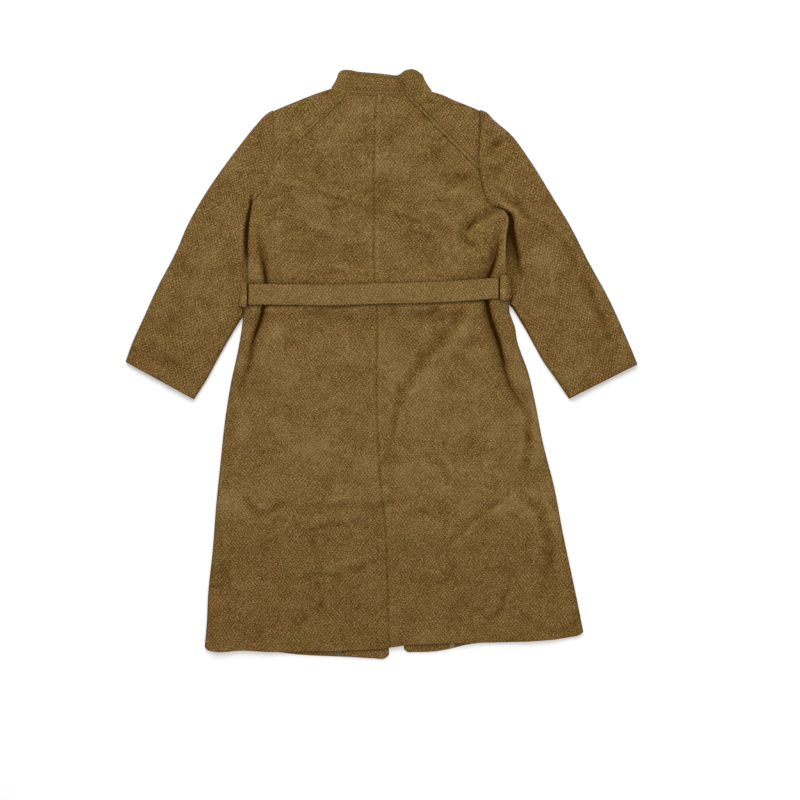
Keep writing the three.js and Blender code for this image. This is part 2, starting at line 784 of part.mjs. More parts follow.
function beltStrap() {
  const low = BELT_THICKNESS / 2;
  const onTop = low + BELT_THICKNESS + SEAM_GAP;
  const turnStations = (side, degrees) => {
    const outward = side === "left" ? -1 : 1;
    const radius = (beltTop(BELT_TURN[side]) - low) / 2;
    return degrees.map((angle) => {
      const turn = THREE.MathUtils.degToRad(angle);
      const station = beltStation(BELT_TURN[side], low + radius + radius * Math.sin(turn));
      const shift = new THREE.Vector3(outward * radius * Math.cos(turn), 0, 0);
      return { start: station.start.add(shift), end: station.end.add(shift) };
    });
  };
  const upwards = [-90, -54, -18, 18, 54, 90];
  const stations = [];
  for (const x of [BELT_LEFT_TIP, 0, -90, -180, -235]) stations.push(beltStation(x, low));
  stations.push(...turnStations("left", upwards));
  for (let x = -255; x <= 240; x += 15) stations.push(beltStation(x, beltTop(x)));
  stations.push(...turnStations("right", [...upwards].reverse()));
  for (const x of [235, 170, BELT_STEP_START]) stations.push(beltStation(x, low));
  for (const x of [BELT_STEP_END, 40, BELT_RIGHT_TIP]) stations.push(beltStation(x, onTop));
  return wallGeometry(strapGrid(stations, BELT_THICKNESS));
}

// A loop lies over the belt, and its ends come down to the coat above and below it.
function beltLoop(side) {
  const { x, width } = LOOPS[side];
  const beltY = readTable(BELT_LINE, "x", x, "y");
  const over = beltTop(x) + BELT_THICKNESS / 2 + SEAM_GAP + LOOP_THICKNESS / 2;
  const down = over - BELT_THICKNESS - SEAM_GAP / 2;
  const half = LOOP_LENGTH / 2;
  const shoulder = BELT_WIDTH / 2 + 1.1; // clears the belt's edge
  const profile = [
    { y: -half, z: down },
    { y: -half + 1.6, z: down },
    { y: -shoulder, z: over },
    { y: 0, z: over },
    { y: shoulder, z: over },
    { y: half - 1.6, z: down },
    { y: half, z: down },
  ];
  const stations = profile.map((point) => ({
    start: new THREE.Vector3(x - width / 2, beltY + point.y, point.z),
    end: new THREE.Vector3(x + width / 2, beltY + point.y, point.z),
  }));
  return wallGeometry(strapGrid(stations, LOOP_THICKNESS));
}

// ================================================================ inside pieces at the hem

function insidePiece(side, piece, thickness) {
  const grid = [];
  const steps = 3;
  for (let i = 0; i <= steps; i += 1) {
    const x = mix(piece.from, piece.to, i / steps);
    const hemY = readTable(FRONT_HEM[side], "x", x, "y") + HEM_TURN;
    grid.push([hemY, INSIDE_TOP].map((y) => ({
      under: [x, y, CLOTH + SEAM_GAP],
      over: [x, y, CLOTH + SEAM_GAP + thickness],
    })));
  }
  return wallGeometry(grid);
}

// ================================================================ the coat

const coat = new THREE.Group();

function addPiece(name, geometry, colour) {
  const material = new THREE.MeshStandardMaterial({ color: colour, roughness: 0.95, metalness: 0 });
  const mesh = new THREE.Mesh(geometry, material);
  mesh.name = name;
  coat.add(mesh);
}

for (const side of ["left", "right"]) {
  addPiece(`front_${side}`, frontPanel(side), COLOURS.tweed);
  addPiece(`back_${side}`, backPanel(side), COLOURS.tweed);
  addPiece(`yoke_${side}`, yokePanel(side), COLOURS.yoke);
  addPiece(`sleeve_${side}`, sleeveTube(side), COLOURS.tweed);
  addPiece(`belt_loop_${side}`, beltLoop(side), COLOURS.tweed);
  addPiece(`facing_${side}`, insidePiece(side, FACINGS[side], FACING_THICKNESS), COLOURS.tweed);
  addPiece(`lining_${side}`, insidePiece(side, LININGS[side], LINING_THICKNESS), COLOURS.lining);
}
addPiece("collar", collarBand(), COLOURS.tweed);
addPiece("belt", beltStrap(), COLOURS.tweed);

// The origin is the middle of the coat's footprint, on the surface it lies on.
const extent = new THREE.Box3().setFromObject(coat);
const middle = extent.getCenter(new THREE.Vector3());
coat.position.set(-middle.x, -middle.y, -extent.min.z);

export default coat;
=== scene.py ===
"""A belted midi coat of brown wool tweed, laid out face down on a pale floor.

Sizes in the tables are millimetres in the coat's own frame: X across, Y from hem to collar, Z up from
the floor. They are turned to metres, and moved onto the fixed frame, where a mesh is made.
"""

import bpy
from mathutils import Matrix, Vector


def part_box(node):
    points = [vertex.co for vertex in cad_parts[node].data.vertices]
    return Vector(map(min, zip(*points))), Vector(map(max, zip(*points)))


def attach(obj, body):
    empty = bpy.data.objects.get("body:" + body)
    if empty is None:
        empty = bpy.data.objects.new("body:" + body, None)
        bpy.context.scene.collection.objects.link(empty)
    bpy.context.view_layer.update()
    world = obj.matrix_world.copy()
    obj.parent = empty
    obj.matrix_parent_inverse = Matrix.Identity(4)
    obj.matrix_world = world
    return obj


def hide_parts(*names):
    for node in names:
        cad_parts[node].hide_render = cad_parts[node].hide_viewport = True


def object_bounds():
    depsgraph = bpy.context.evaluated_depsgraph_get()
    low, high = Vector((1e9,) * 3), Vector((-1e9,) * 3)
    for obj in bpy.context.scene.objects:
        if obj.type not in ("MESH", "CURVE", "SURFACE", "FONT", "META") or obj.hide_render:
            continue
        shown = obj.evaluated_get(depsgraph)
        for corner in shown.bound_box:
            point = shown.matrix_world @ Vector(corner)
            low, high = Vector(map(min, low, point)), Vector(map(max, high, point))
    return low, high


bl_info = {
    "name": "Belted midi coat",
    "version": (1, 0, 0),
    "blender": (4, 5, 0),
    "location": "3D View > Sidebar > Coat",
    "description": "Builds a wool tweed coat laid flat, piece by piece, as a maker would cut it",
    "category": "Add Mesh",
}

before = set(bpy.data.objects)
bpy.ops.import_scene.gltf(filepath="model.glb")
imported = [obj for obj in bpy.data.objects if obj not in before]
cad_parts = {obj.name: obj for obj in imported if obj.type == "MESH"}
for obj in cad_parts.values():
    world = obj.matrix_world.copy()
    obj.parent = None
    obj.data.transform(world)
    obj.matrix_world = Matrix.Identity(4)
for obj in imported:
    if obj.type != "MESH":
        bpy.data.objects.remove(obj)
CAD_BOX = [list(corner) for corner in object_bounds()]

import math
from collections import namedtuple

import bpy
import numpy as np
from mathutils import Vector

SIDES = ("left", "right")
OUTWARD = {"left": -1, "right": 1}  # the way along X from the middle of the coat to each side
# A crease, given in the tables. Its depth is below 0 for a trough and above 0 for a ridge.
Crease = namedtuple("Crease", "depth width path")


def table(columns, *rows):
    """Rows of numbers under named columns, as one array for each column."""
    return {name: np.array(column, float) for name, column in zip(columns.split(), zip(*rows))}


# ------------------------------------------------------------------------------------------ outline

SIDE_EDGE = {
    "left": [
        (-354, -566), (-350, -520), (-347, -458), (-338, -372), (-331, -282), (-323, -202), (-312, -102),
        (-302, -40), (-287, 30), (-281.5, 61), (-278, 86), (-277, 98), (-275.5, 118), (-271, 139),
        (-269, 200), (-269, 238), (-267, 276), (-259, 327),
    ],
    "right": [
        (404, -536), (393, -480), (383, -432), (362, -332), (347, -252), (322, -152), (306, -69),
        (291, -8), (280, 21), (271, 49), (267, 74), (262, 88.4), (256.5, 103.4), (254.8, 121),
        (255, 140), (252, 180), (250.5, 202), (249.5, 235), (251.5, 262), (255, 284), (254, 296),
        (250, 303),
    ],
}
# From the shoulder down to the armpit. The yoke seam meets the armhole at the fourth point.
ARMHOLE = {
    "left": [
        (-217, 507), (-215, 470), (-215, 430), (-218, 401), (-222, 380), (-230, 359), (-242, 341),
        (-251, 331), (-259, 327),
    ],
    "right": [
        (197, 508), (197, 466), (195, 425), (196, 387), (201, 363), (208, 337), (213, 325), (222, 316),
        (234, 313), (244, 309), (250, 303),
    ],
}
YOKE_CORNER = 3
SHOULDER = {
    "left": [(-97, 553), (-119, 546), (-148, 535.5), (-180, 522.5), (-217, 507)],
    "right": [(98, 546.5), (120, 540), (146, 528.5), (170, 519), (197, 508)],
}
YOKE_SEAM = {
    "left": [(-71, 538), (-87, 518), (-132, 478), (-172, 438), (-218, 401)],
    "right": [(48, 536), (91, 492), (132, 450), (166, 416), (196, 387)],
}
CENTRE_BACK = [
    (16, -570), (14, -496), (11, -398), (9, -332), (0, -252), (-5, -172), (-9, -72), (-9, 108),
    (-13, 168), (-14, 322), (-13, 466), (-9, 536),
]
BACK_HEM = [
    (-354, -566), (-348, -572), (-337, -574.5), (-276, -573), (-222, -576), (-142, -574), (-35, -571),
    (16, -567), (50, -562), (94, -559), (229, -557), (299, -554.5), (373, -547), (398, -541), (404, -536),
]
FRONT_HEM = {
    "left": [
        (-354, -566), (-337, -573), (-276, -572.5), (-212, -576.5), (-169, -581.5), (-115, -584.5),
        (-62, -586.5), (-20, -589), (8, -588.5), (15, -582),
    ],
    "right": [
        (404, -536), (373, -546.5), (299, -554), (171, -562), (135, -570.5), (109, -575), (65, -576.5),
        (51, -576), (45, -571),
    ],
}
FRONT_EDGE = {"left": [(15, -582), (-3, 512)], "right": [(45, -571), (3, 512)]}
FRONT_NECK = {
    "left": [(-94.5, 549), (-60, 529), (-30, 516), (-3, 512)],
    "right": [(94.5, 542), (62, 526), (30, 515), (3, 512)],
}
# Heights at the centre back seam that stand level with the hem, armpit, yoke corner and neck.
CENTRE_LEVELS = (-567, 315, 394, 542)
# Rough sizes of the panels, by which their rows of points are spaced.
BACK_WIDTH = 310
YOKE_WIDTH, YOKE_HEIGHT = 160, 120
FRONT_WIDTH, FRONT_LENGTH = 340, 1200
FRONT_RUNS = {"side": 854, "armhole": 190, "shoulder": 125}
FRONT_STEP = 8

# ---------------------------------------------------------------------------------- folds of the back

BACK_CREASES = [
    # upper back
    Crease(
        -6.4, 7,
        [(258, 322), (238, 314), (213, 302), (189, 288), (169, 272), (161, 258), (166, 246), (182, 238),
         (206, 236)],
    ),
    Crease(-3, 7, [(172, 252), (190, 232), (206, 208)]),
    Crease(1.5, 9, [(181, 254), (203, 266), (225, 276), (243, 282)]),
    Crease(-2.6, 15, [(122, 390), (150, 373), (178, 362), (210, 366)]),
    Crease(-2.6, 10, [(101, 376), (137, 368), (173, 374), (201, 376), (231, 352)]),
    Crease(-2.4, 10, [(-217, 376), (-203, 354), (-179, 336), (-157, 320)]),
    Crease(
        -2.8, 5.5,
        [(-222, 358), (-160, 346), (-101, 332), (-48, 318), (4, 302), (60, 288), (109, 273), (160, 258)],
    ),
    Crease(1.8, 5, [(-36, 352), (-5, 336), (30, 314), (70, 290), (98, 276)]),
    Crease(-1.8, 9, [(57, 304), (97, 292), (131, 270), (141, 242)]),
    Crease(-2.4, 8, [(-193, 252), (-183, 268), (-165, 278), (-139, 264), (-107, 250), (-73, 248)]),
    Crease(-2.0, 17, [(-190, 262), (-150, 240), (-110, 236), (-60, 226), (-20, 196)]),
    Crease(-1.8, 9, [(-103, 232), (-73, 212), (-43, 196), (-15, 168)]),
    Crease(-2.6, 15, [(60, 252), (100, 222), (110, 186)]),
    Crease(-3.4, 6, [(-126, 181), (-104, 183), (-82, 182), (-60, 178)]),
    Crease(1.4, 15, [(-215, 318), (-211, 280), (-206, 236)]),
    Crease(1.4, 13, [(142, 240), (134, 206), (142, 172)]),
    # below the belt
    Crease(-4.2, 7, [(-179, 104), (-151, 104), (-123, 103), (-87, 107)]),
    Crease(-3.6, 7.6, [(47, 104), (77, 96), (109, 104), (141, 112)]),
    Crease(-1.0, 2.2, [(-140, 67), (-73, 71), (-19, 69), (49, 73)]),
    Crease(-0.6, 2, [(-163, 22), (-119, 24), (-67, 22)]),
    Crease(0.8, 18, [(-212, 104), (-212, 70), (-218, 34)]),
    Crease(0.9, 16, [(184, 114), (174, 76), (158, 40)]),
    Crease(
        -4.7, 10.5,
        [(178, 128), (155, 98), (135, 66), (105, 34), (77, 2), (53, -34), (38, -68), (33, -98)],
    ),
    Crease(-3, 5.5, [(40, -60), (31, -96), (23, -140), (12, -180), (-3, -216)]),
    Crease(-2.0, 7.6, [(193, 68), (177, 38), (147, 8), (129, -28)]),
    # right half of the skirt
    Crease(
        -6.2, 7.5,
        [(281, -70), (291, -96), (295, -120), (296, -150), (293, -176), (289, -205), (292, -240)],
    ),
    Crease(1.6, 10, [(277, 8), (301, -56), (319, -122)]),
    Crease(-1.4, 6.8, [(161, -120), (185, -128), (221, -126)]),
    Crease(-3.4, 5.5, [(272, -238), (257, -257), (215, -288), (163, -330), (121, -373), (74, -396)]),
    Crease(0.8, 7, [(262, -262), (221, -298), (170, -340)]),
    Crease(-6.0, 5, [(260, -430), (250, -452), (237, -488), (225, -516)]),
    Crease(
        -4.2, 10,
        [(260, -246), (290, -268), (310, -288), (331, -341), (337, -384), (330, -420), (318, -456)],
    ),
    Crease(-1.6, 7.6, [(43, -312), (87, -296), (121, -306), (153, -332)]),
    Crease(-1.4, 6.8, [(85, -418), (113, -432), (149, -438), (187, -448)]),
    Crease(-1.4, 8.5, [(73, -172), (113, -196), (137, -232), (181, -248)]),
    # left half of the skirt
    Crease(
        -3.2, 7.5,
        [(-290, -240), (-275, -262), (-261, -286), (-249, -300), (-232, -296), (-200, -280), (-172, -274)],
    ),
    Crease(-2.1, 6.5, [(-190, -290), (-175, -298), (-140, -290), (-80, -283), (-7, -283), (24, -278)]),
    Crease(
        -2.6, 6.5,
        [(-180, -298), (-172, -315), (-159, -341), (-140, -336), (-122, -326), (-90, -322),
         (-50, -320), (-10, -316)],
    ),
    Crease(-1.6, 7.6, [(-259, -348), (-235, -334), (-207, -320), (-181, -312)]),
    Crease(-3.0, 5, [(-136, -404), (-131, -420), (-124, -446), (-112, -505)]),
    Crease(-2.4, 9, [(-162, -422), (-142, -436), (-126, -454)]),
    Crease(-2.4, 6, [(-183, -432), (-155, -426), (-112, -420), (-59, -410), (-31, -402), (8, -398)]),
    Crease(-1.4, 6.8, [(-171, -278), (-131, -290), (-87, -282), (-39, -276)]),
    Crease(-2.0, 9.3, [(-285, -64), (-295, -102), (-303, -148), (-307, -196), (-305, -244)]),
    Crease(-0.9, 8.5, [(-319, -332), (-321, -376), (-321, -428), (-331, -480)]),
    Crease(-1.4, 8.5, [(-239, -152), (-193, -166), (-153, -152), (-119, -164)]),
    Crease(-1.2, 8.5, [(-103, -152), (-79, -192), (-39, -212), (-19, -244)]),
]
SLEEVE_CREASES = {
    "left": [
        Crease(-1.8, 8, [(-352, 356), (-325, 352), (-292, 358), (-270, 374)]),
        Crease(
            -13, 2.6,
            [(-256, 358), (-257.5, 348), (-259, 340), (-260.5, 330), (-262, 318), (-264, 306)],
        ),
        Crease(-2.6, 12, [(-277, 204), (-294, 192), (-304, 172), (-308, 148)]),
        Crease(-1.6, 10, [(-419, 204), (-387, 188), (-351, 188)]),
        Crease(-2.0, 11, [(-440, 98), (-420, 86), (-400, 82)]),
        Crease(-2.2, 15, [(-492, 40), (-462, 26), (-425, 6), (-385, -16)]),
        Crease(1.2, 28, [(-345, 260), (-365, 200), (-385, 140), (-400, 90)]),
        Crease(-1.6, 10, [(-353, 304), (-331, 284), (-299, 276)]),
    ],
    "right": [
        Crease(-6.0, 9, [(260, 452), (244, 450), (228, 440), (218, 424), (214, 404)]),
        Crease(-4.6, 8, [(208, 398), (226, 386), (252, 394)]),
        Crease(-5.6, 6.5, [(222, 356), (242, 341), (263, 325), (282, 307), (300, 288), (322, 266)]),
        Crease(2.6, 6, [(226, 336), (246, 324), (262, 308), (275, 288)]),
        Crease(-3.4, 7, [(308, 292), (340, 262), (373, 228), (396, 184), (416, 144), (442, 80), (466, 22)]),
        Crease(1.4, 25, [(296, 262), (320, 210), (336, 160), (352, 110)]),
        Crease(-3.2, 14, [(404, 176), (430, 120), (448, 80), (466, 30), (478, 4)]),
        Crease(-1.6, 10, [(337, 68), (361, 56), (393, 62)]),
        Crease(-1.6, 9, [(293, 372), (317, 348), (333, 316)]),
    ],
}
# Tucks that the belt gathers, top to bottom. `deep` is how far each closes, from 0 to 1, `puff` the
# rise of the back beside it, `strip` that of the roll between the tuck and the side, and `core` the
# width of its darkest painted shade.
TUCKS = {
    "left": table(
        "x y deep puff strip core",
        (-252, 296, 0, 0, 2, 2.9),
        (-247.2, 261, 0.35, 3, 3, 2.9),
        (-244.2, 235, 0.55, 5, 4, 2.9),
        (-238, 211, 0.8, 6.5, 4.5, 2.9),
        (-233.4, 185, 0.95, 7, 5, 3.4),
        (-230.4, 163, 1, 7, 5, 3.6),
        (-232, 140, 1, 7, 5, 2.9),
        (-235, 118, 1, 7, 5, 3.7),
        (-239.6, 95, 1, 7, 4.5, 3.7),
        (-247.4, 74, 1, 6.5, 4, 3.7),
        (-255, 52, 0.9, 6, 3.5, 3.7),
        (-259.6, 30, 0.75, 5, 3, 3.7),
        (-264.2, 0, 0.62, 4, 2.5, 3.7),
        (-271.8, -23, 0.45, 3, 2, 3.7),
        (-287, -72, 0, 1, 1, 3.7),
    ),
    "right": table(
        "x y deep puff strip core",
        (236, 282, 0, 0, 2, 2.9),
        (234, 264, 0.2, 2, 3, 2.9),
        (232.8, 246, 0.5, 4, 4, 2.9),
        (231, 223, 0.8, 6, 5, 2.9),
        (222, 192, 1, 7, 5.5, 3.6),
        (214.4, 172, 1, 7, 5.5, 4.2),
        (212.2, 148, 1, 7, 5, 4.6),
        (211.4, 127, 1, 7, 5, 5.4),
        (214.4, 107, 1, 7, 5, 6.2),
        (223.6, 76, 1, 7, 5, 6.4),
        (234.4, 46, 1, 6.5, 4.5, 6),
        (242, 15, 0.9, 6, 4, 5),
        (246.6, -8, 0.75, 5.5, 3.5, 5),
        (255.8, -38, 0.7, 4.5, 3, 5),
        (263.4, -54, 0.62, 4, 2.5, 5),
        (277, -76, 0.5, 2, 1.5, 5),
        (290, -96, 0, 1, 1, 5),
    ),
}
# How gently the cloth goes down into each tuck: from the middle of the back, and from the side.
TUCK_SLOPE = {"left": (6, 4.5), "right": (11, 2.6)}
# Radius of the roll at the coat's folded sides.
SIDE_ROLL = {
    "left": table("y radius", (-570, 6), (-300, 8), (0, 9), (110, 9), (200, 10), (300, 9), (560, 5)),
    "right": table(
        "y radius",
        (-570, 6), (-300, 8), (0, 9), (110, 6), (200, 4), (290, 3.5), (303, 2), (560, 5),
    ),
}

# -------------------------------------------------------------------------------------------- sleeves

SLEEVE_OUTER = {
    "left": [
        (-218, 508.5), (-226, 504), (-236, 496), (-252, 478), (-299, 418), (-353, 341), (-391, 273),
        (-410, 228), (-447, 157), (-480, 85), (-501, 38), (-512.5, 5),
    ],
    "right": [
        (198, 509.5), (211, 504), (223, 491), (259, 460), (298, 407), (342, 336), (380, 273), (413, 208),
        (455, 131), (476, 86), (498, 35), (512.5, 0),
    ],
}
SLEEVE_INNER = {
    "left": [
        (-259.5, 326), (-260.3, 318), (-262.2, 305), (-264.2, 292), (-266, 276), (-267.6, 240),
        (-268, 200), (-268, 182), (-268, 171), (-271.2, 160), (-278.5, 141), (-282.6, 127),
        (-282.2, 121), (-279.2, 115), (-275.8, 110), (-275.5, 104), (-276.5, 98.5), (-283, 88),
        (-293, 72), (-306, 50), (-328, 11), (-349, -28), (-375.5, -70),
    ],
    "right": [
        (250.2, 302.5), (253.6, 296), (254.5, 284), (251.2, 262), (249.2, 235), (250, 202),
        (251.6, 182), (254.5, 176.5), (258.5, 172), (259.5, 165), (259.5, 134), (258, 127),
        (255.4, 121.5), (262, 112.5), (268, 103.4), (277, 88.4), (287, 72), (304, 41), (325, 4),
        (347, -27), (375.5, -69),
    ],
}
# The sleeve's slope on the side by the body, from shoulder to cuff: how wide it is, how much higher its
# crest stands, how hollow it is, from 0, round, to 1, how far the painted shade reaches in, how dark it
# is, and how high the sleeve's edge stands where it leans on the belt.
SLEEVE_BANK = {
    "left": table(
        "share wide crest hollow dark deep edge",
        (0, 13, 0, 0.5, 1, 0, 3.2), (0.25, 13, 0, 0.5, 1, 0, 3.2), (0.3, 8, 2, 0, 1, 0, 3.2),
        (0.32, 8, 2, 0, 3, 0.9, 3.2), (0.36, 10, 3, 0, 7, 1, 3.2), (0.42, 12, 4, 0, 10, 1, 3.2),
        (0.46, 12, 4, 0, 10, 1, 3.2), (0.485, 11, 4, 0, 9.5, 0.9, 3.5), (0.505, 11, 3, 0, 11, 0.5, 5),
        (0.53, 11, 3, 0, 15, 0.3, 6), (0.56, 10, 2, 0, 13, 0.22, 7), (0.6, 8, 1, 0, 6, 0.08, 8.5),
        (0.64, 8, 1, 0, 4, 0.35, 8.5), (0.675, 7, 1, 0, 3, 0.6, 5), (0.7, 7, 1, 0, 3, 0.6, 3.2),
        (0.76, 6, 0, 0, 2, 0.3, 3.2), (1, 5, 0, 0, 2, 0.2, 3.2),
    ),
    "right": table(
        "share wide crest hollow dark deep edge",
        (0, 13, 0, 0.5, 1, 0, 3.2), (0.28, 13, 0, 0.5, 1, 0, 3.2), (0.342, 5, 2, 0, 2, 0.6, 6.5),
        (0.372, 9, 4, 0.6, 8, 1, 3.2), (0.418, 17, 6, 1, 15, 1, 3.2), (0.474, 27, 7, 1, 25, 0.74, 3.2),
        (0.53, 34, 7, 1, 32, 0.44, 4.5), (0.575, 33, 6, 1, 31, 0.24, 7), (0.61, 18, 4, 0.5, 17, 0.16, 8.5),
        (0.635, 10, 2, 0.2, 5, 0.5, 7), (0.655, 8, 1.5, 0, 4, 0.8, 4), (0.7, 6, 0, 0, 3.5, 0.6, 3.2),
        (0.76, 6, 0, 0, 2, 0.3, 3.2), (1, 5, 0, 0, 2, 0.2, 3.2),
    ),
}
SLEEVE_LENGTH, SLEEVE_WIDTH = 600, 160
CUFF_HEM = 30
CUFF_SHADE = {"left": 0.045, "right": 0}  # the left cuff is a little darker
GRAIN_TURN = {"left": -25, "right": 26}  # degrees from the coat's Y to the grain of each sleeve

# ---------------------------------------------------------------------------------- belt and collar

BELT_LINE = table(
    "x y",
    (-285, 138), (-237, 139), (-160, 138), (-100, 137), (-13, 140), (40, 141), (118, 143), (178, 147),
    (235, 152), (270, 153),
)
BELT_TURN = {"left": -269.4, "right": 249.2}
BELT_TIPS = {"left": 78, "right": -8}
BELT_EDGE = 21  # from the belt's middle line to its edges
LOOPS = {"left": -267.6, "right": 236}  # x of the edge that crosses the belt
LOOP_TOP = {"left": 26, "right": 24}  # how far each loop reaches above the belt's middle line
LOOP_STANDS_OUT = {"left": 4, "right": 0}  # how far its lower half stands out at the side
# Painted shade on each loop where it bends down the side.
LOOP_SHADE = {"left": 0.05, "right": 0.32}  # where it bends down the side
LEFT_LOOP_X = -268.5  # the middle of the left loop's solid
# The collar, folded in half round the neck: seam edge, upper edge, and the height of its middle.
COLLAR = table(
    "seam_x seam_y top_x top_y z",
    (-3, 512, -3, 556, 1.8),
    (-30, 517, -26, 560, 1.8),
    (-60, 530, -51, 570, 1.8),
    (-86, 546, -72, 581, 1.8),
    (-98.5, 552.5, -84, 581.5, 2.6),
    (-100, 552.5, -85, 583, 4.5),
    (-96, 550, -81, 586.5, 7),
    (-87, 545, -73, 588, 8.5),
    (-73, 538.5, -60, 587.5, 8.5),
    (-45, 537.8, -45, 584.5, 8),
    (-9, 537.8, -9, 581.5, 7.5),
    (20, 537.5, 20, 578.5, 7.5),
    (33, 537, 33, 578.5, 7.5),
    (43, 536.5, 41, 582.5, 9),
    (53, 536.5, 48, 586.5, 11),
    (68, 538, 59, 588.5, 12),
    (82, 541.5, 69, 587, 10),
    (96, 545.5, 79.5, 581, 6.5),
    (100.5, 547, 81.5, 579.5, 4),
    (98.5, 546.5, 80, 579, 2.4),
    (88, 543, 70, 579, 1.8),
    (62, 527, 50, 569, 1.8),
    (30, 516, 26, 560, 1.8),
    (3, 512, 3, 556, 1.8),
)
COLLAR_WIDTH = 44
COLLAR_ROWS = (0.05, 0.2, 0.31, 0.48, 0.62, 0.82)  # channel stitching, as shares of the collar's width

# ------------------------------------------------------------------------------- inside at the hem

FACINGS = {"left": (-80, 13), "right": (47, 136)}
LININGS = {"left": (-90, -80.4), "right": (136.4, 146)}
INSIDE_TOP = -500
INSIDE_LIFT = {"start": -130, "end": 165, "side": 60, "top": -458, "fade": 55, "height": 1.6}

# --------------------------------------------------------------------------------- add-on settings


def linear(colour):
    """An sRGB hex colour as linear red, green, blue and alpha."""
    parts = [int(colour[i : i + 2], 16) / 255 for i in (1, 3, 5)]
    return [c / 12.92 if c <= 0.04045 else ((c + 0.055) / 1.055) ** 2.4 for c in parts] + [1.0]


def length_property(name, description, millimetres):
    """A size that a user may change."""
    return bpy.props.FloatProperty(
        name=name, description=description, default=millimetres / 1000, min=0,
        unit="LENGTH", subtype="DISTANCE",
    )


def colour_property(name, description, colour):
    """A colour that a user may change."""
    return bpy.props.FloatVectorProperty(
        name=name, description=description, default=linear(colour), size=4, min=0, max=1, subtype="COLOR"
    )


class CoatSizes(bpy.types.PropertyGroup):
    cloth: length_property("Cloth", "Thickness of the wool coating", 2.2)
    lining: length_property("Lining", "Thickness of the lining", 1.0)
    collar: length_property("Collar", "Thickness of the collar, stiffened and stitched through", 3.0)
    belt: length_property("Belt", "Thickness of the belt, folded coating", 4.0)
    belt_width: length_property("Belt width", "Width of the belt", 42)
    loop: length_property("Belt loop", "Thickness of a belt loop", 2.4)
    mesh_step: length_property("Mesh step", "Distance between the points of a panel", 3.5)


class CoatColours(bpy.types.PropertyGroup):
    yarn_dark: colour_property("Dark yarn", "The darkest flecks of the tweed", "#3A2100")
    yarn: colour_property("Yarn", "The tweed's ground", "#654B21")
    yarn_light: colour_property("Light yarn", "The lightest flecks of the tweed", "#A1875F")
    lining: colour_property("Lining", "The lining at the hem", "#776A55")
    floor: colour_property("Floor", "The floor that the coat lies on", "#FAFAFA")


# ------------------------------------------------------------------------------ arithmetic of cloth


def smooth(value, start, end):
    """0 up to start, 1 from end on, smooth between them."""
    share = np.clip((value - start) / (end - start), 0, 1)
    return share * share * (3 - 2 * share)


def bell(distance, width):
    """1 at no distance, falling softly away. At the width it is 0.37."""
    return np.exp(-((distance / width) ** 2))


def rounded(distance, radius):
    """0 at a folded edge, 1 from radius on, on a quarter circle."""
    return np.sqrt(1 - (1 - np.clip(distance / radius, 0, 1)) ** 2)


def run_of(line):
    """How far along a line each of its points stands."""
    return np.concatenate([[0], np.cumsum(np.linalg.norm(np.diff(line, axis=0), axis=1))])


def reach_of(line):
    """Shares of a line's length at which its points stand."""
    run = run_of(line)
    return run / run[-1]


def length_of(line):
    """The length of a line."""
    return np.linalg.norm(np.diff(line, axis=0), axis=1).sum()


def along(line, share):
    """The points at the given shares of a line's length."""
    reach = reach_of(line)
    return np.stack([np.interp(share, reach, line[:, k]) for k in range(line.shape[1])], axis=-1)


def beside(line, distance):
    """The line moved to the left of its direction."""
    step = np.gradient(line, axis=0)
    step /= np.linalg.norm(step, axis=1, keepdims=True)
    return line + distance * np.stack([-step[:, 1], step[:, 0]], axis=1)


def soft_step(rows, slope, i, s, gap=1):
    """The cubic from row i to the next, at the shares s of the gap between them."""
    return (
        (2 * s**3 - 3 * s**2 + 1) * rows[i]
        + (s**3 - 2 * s**2 + s) * gap * slope[i]
        + (3 * s**2 - 2 * s**3) * rows[i + 1]
        + (s**3 - s**2) * gap * slope[i + 1]
    )


def soft_line(points, step=3.0):
    """A soft curve through the points, as points about step apart."""
    points = np.array(points, float)
    run = run_of(points)
    slope = np.gradient(points, run, axis=0)
    made = [points[:1]]
    for i, gap in enumerate(np.diff(run)):
        s = np.linspace(0, 1, max(2, math.ceil(gap / step)) + 1)[1:, None]
        made.append(soft_step(points, slope, i, s, gap))
    return np.concatenate(made)


def soft_rows(rows, count):
    """Rows of numbers made finer, with count steps from each to the next."""
    slope = np.gradient(rows, axis=0)
    s = np.linspace(0, 1, count, endpoint=False)[:, None]
    return np.concatenate([*(soft_step(rows, slope, i, s) for i in range(len(rows) - 1)), rows[-1:]])


def from_line(x, y, line):
    """Distance from a line, positive on the left of its direction, and the share of its length there."""
    best, side, share = np.full(x.shape, np.inf), np.ones(x.shape), np.zeros(x.shape)
    reach = reach_of(line)
    for a, b, r, s in zip(line[:-1], line[1:], reach[:-1], reach[1:]):
        d = b - a
        t = np.clip(((x - a[0]) * d[0] + (y - a[1]) * d[1]) / (d @ d), 0, 1)
        dx, dy = x - a[0] - t * d[0], y - a[1] - t * d[1]
        far = np.hypot(dx, dy)
        near = far < best
        best = np.where(near, far, best)
        side = np.where(near, np.where(d[0] * dy - d[1] * dx < 0, -1.0, 1.0), side)
        share = np.where(near, r + t * (s - r), share)
    return best * side, share


def waves(x, y, seed, length, height):
    """The unevenness of cloth laid out by hand, in waves about length apart."""
    dice, count = np.random.default_rng(seed), 20
    z = np.zeros(x.shape)
    for _ in range(count):
        turn, start = dice.uniform(0, 2 * math.pi, 2)
        pace = 2 * math.pi / (length * dice.uniform(0.7, 1.6))
        z += np.sin((x * math.cos(turn) + y * math.sin(turn)) * pace + start)
    return height * z / math.sqrt(count / 2)


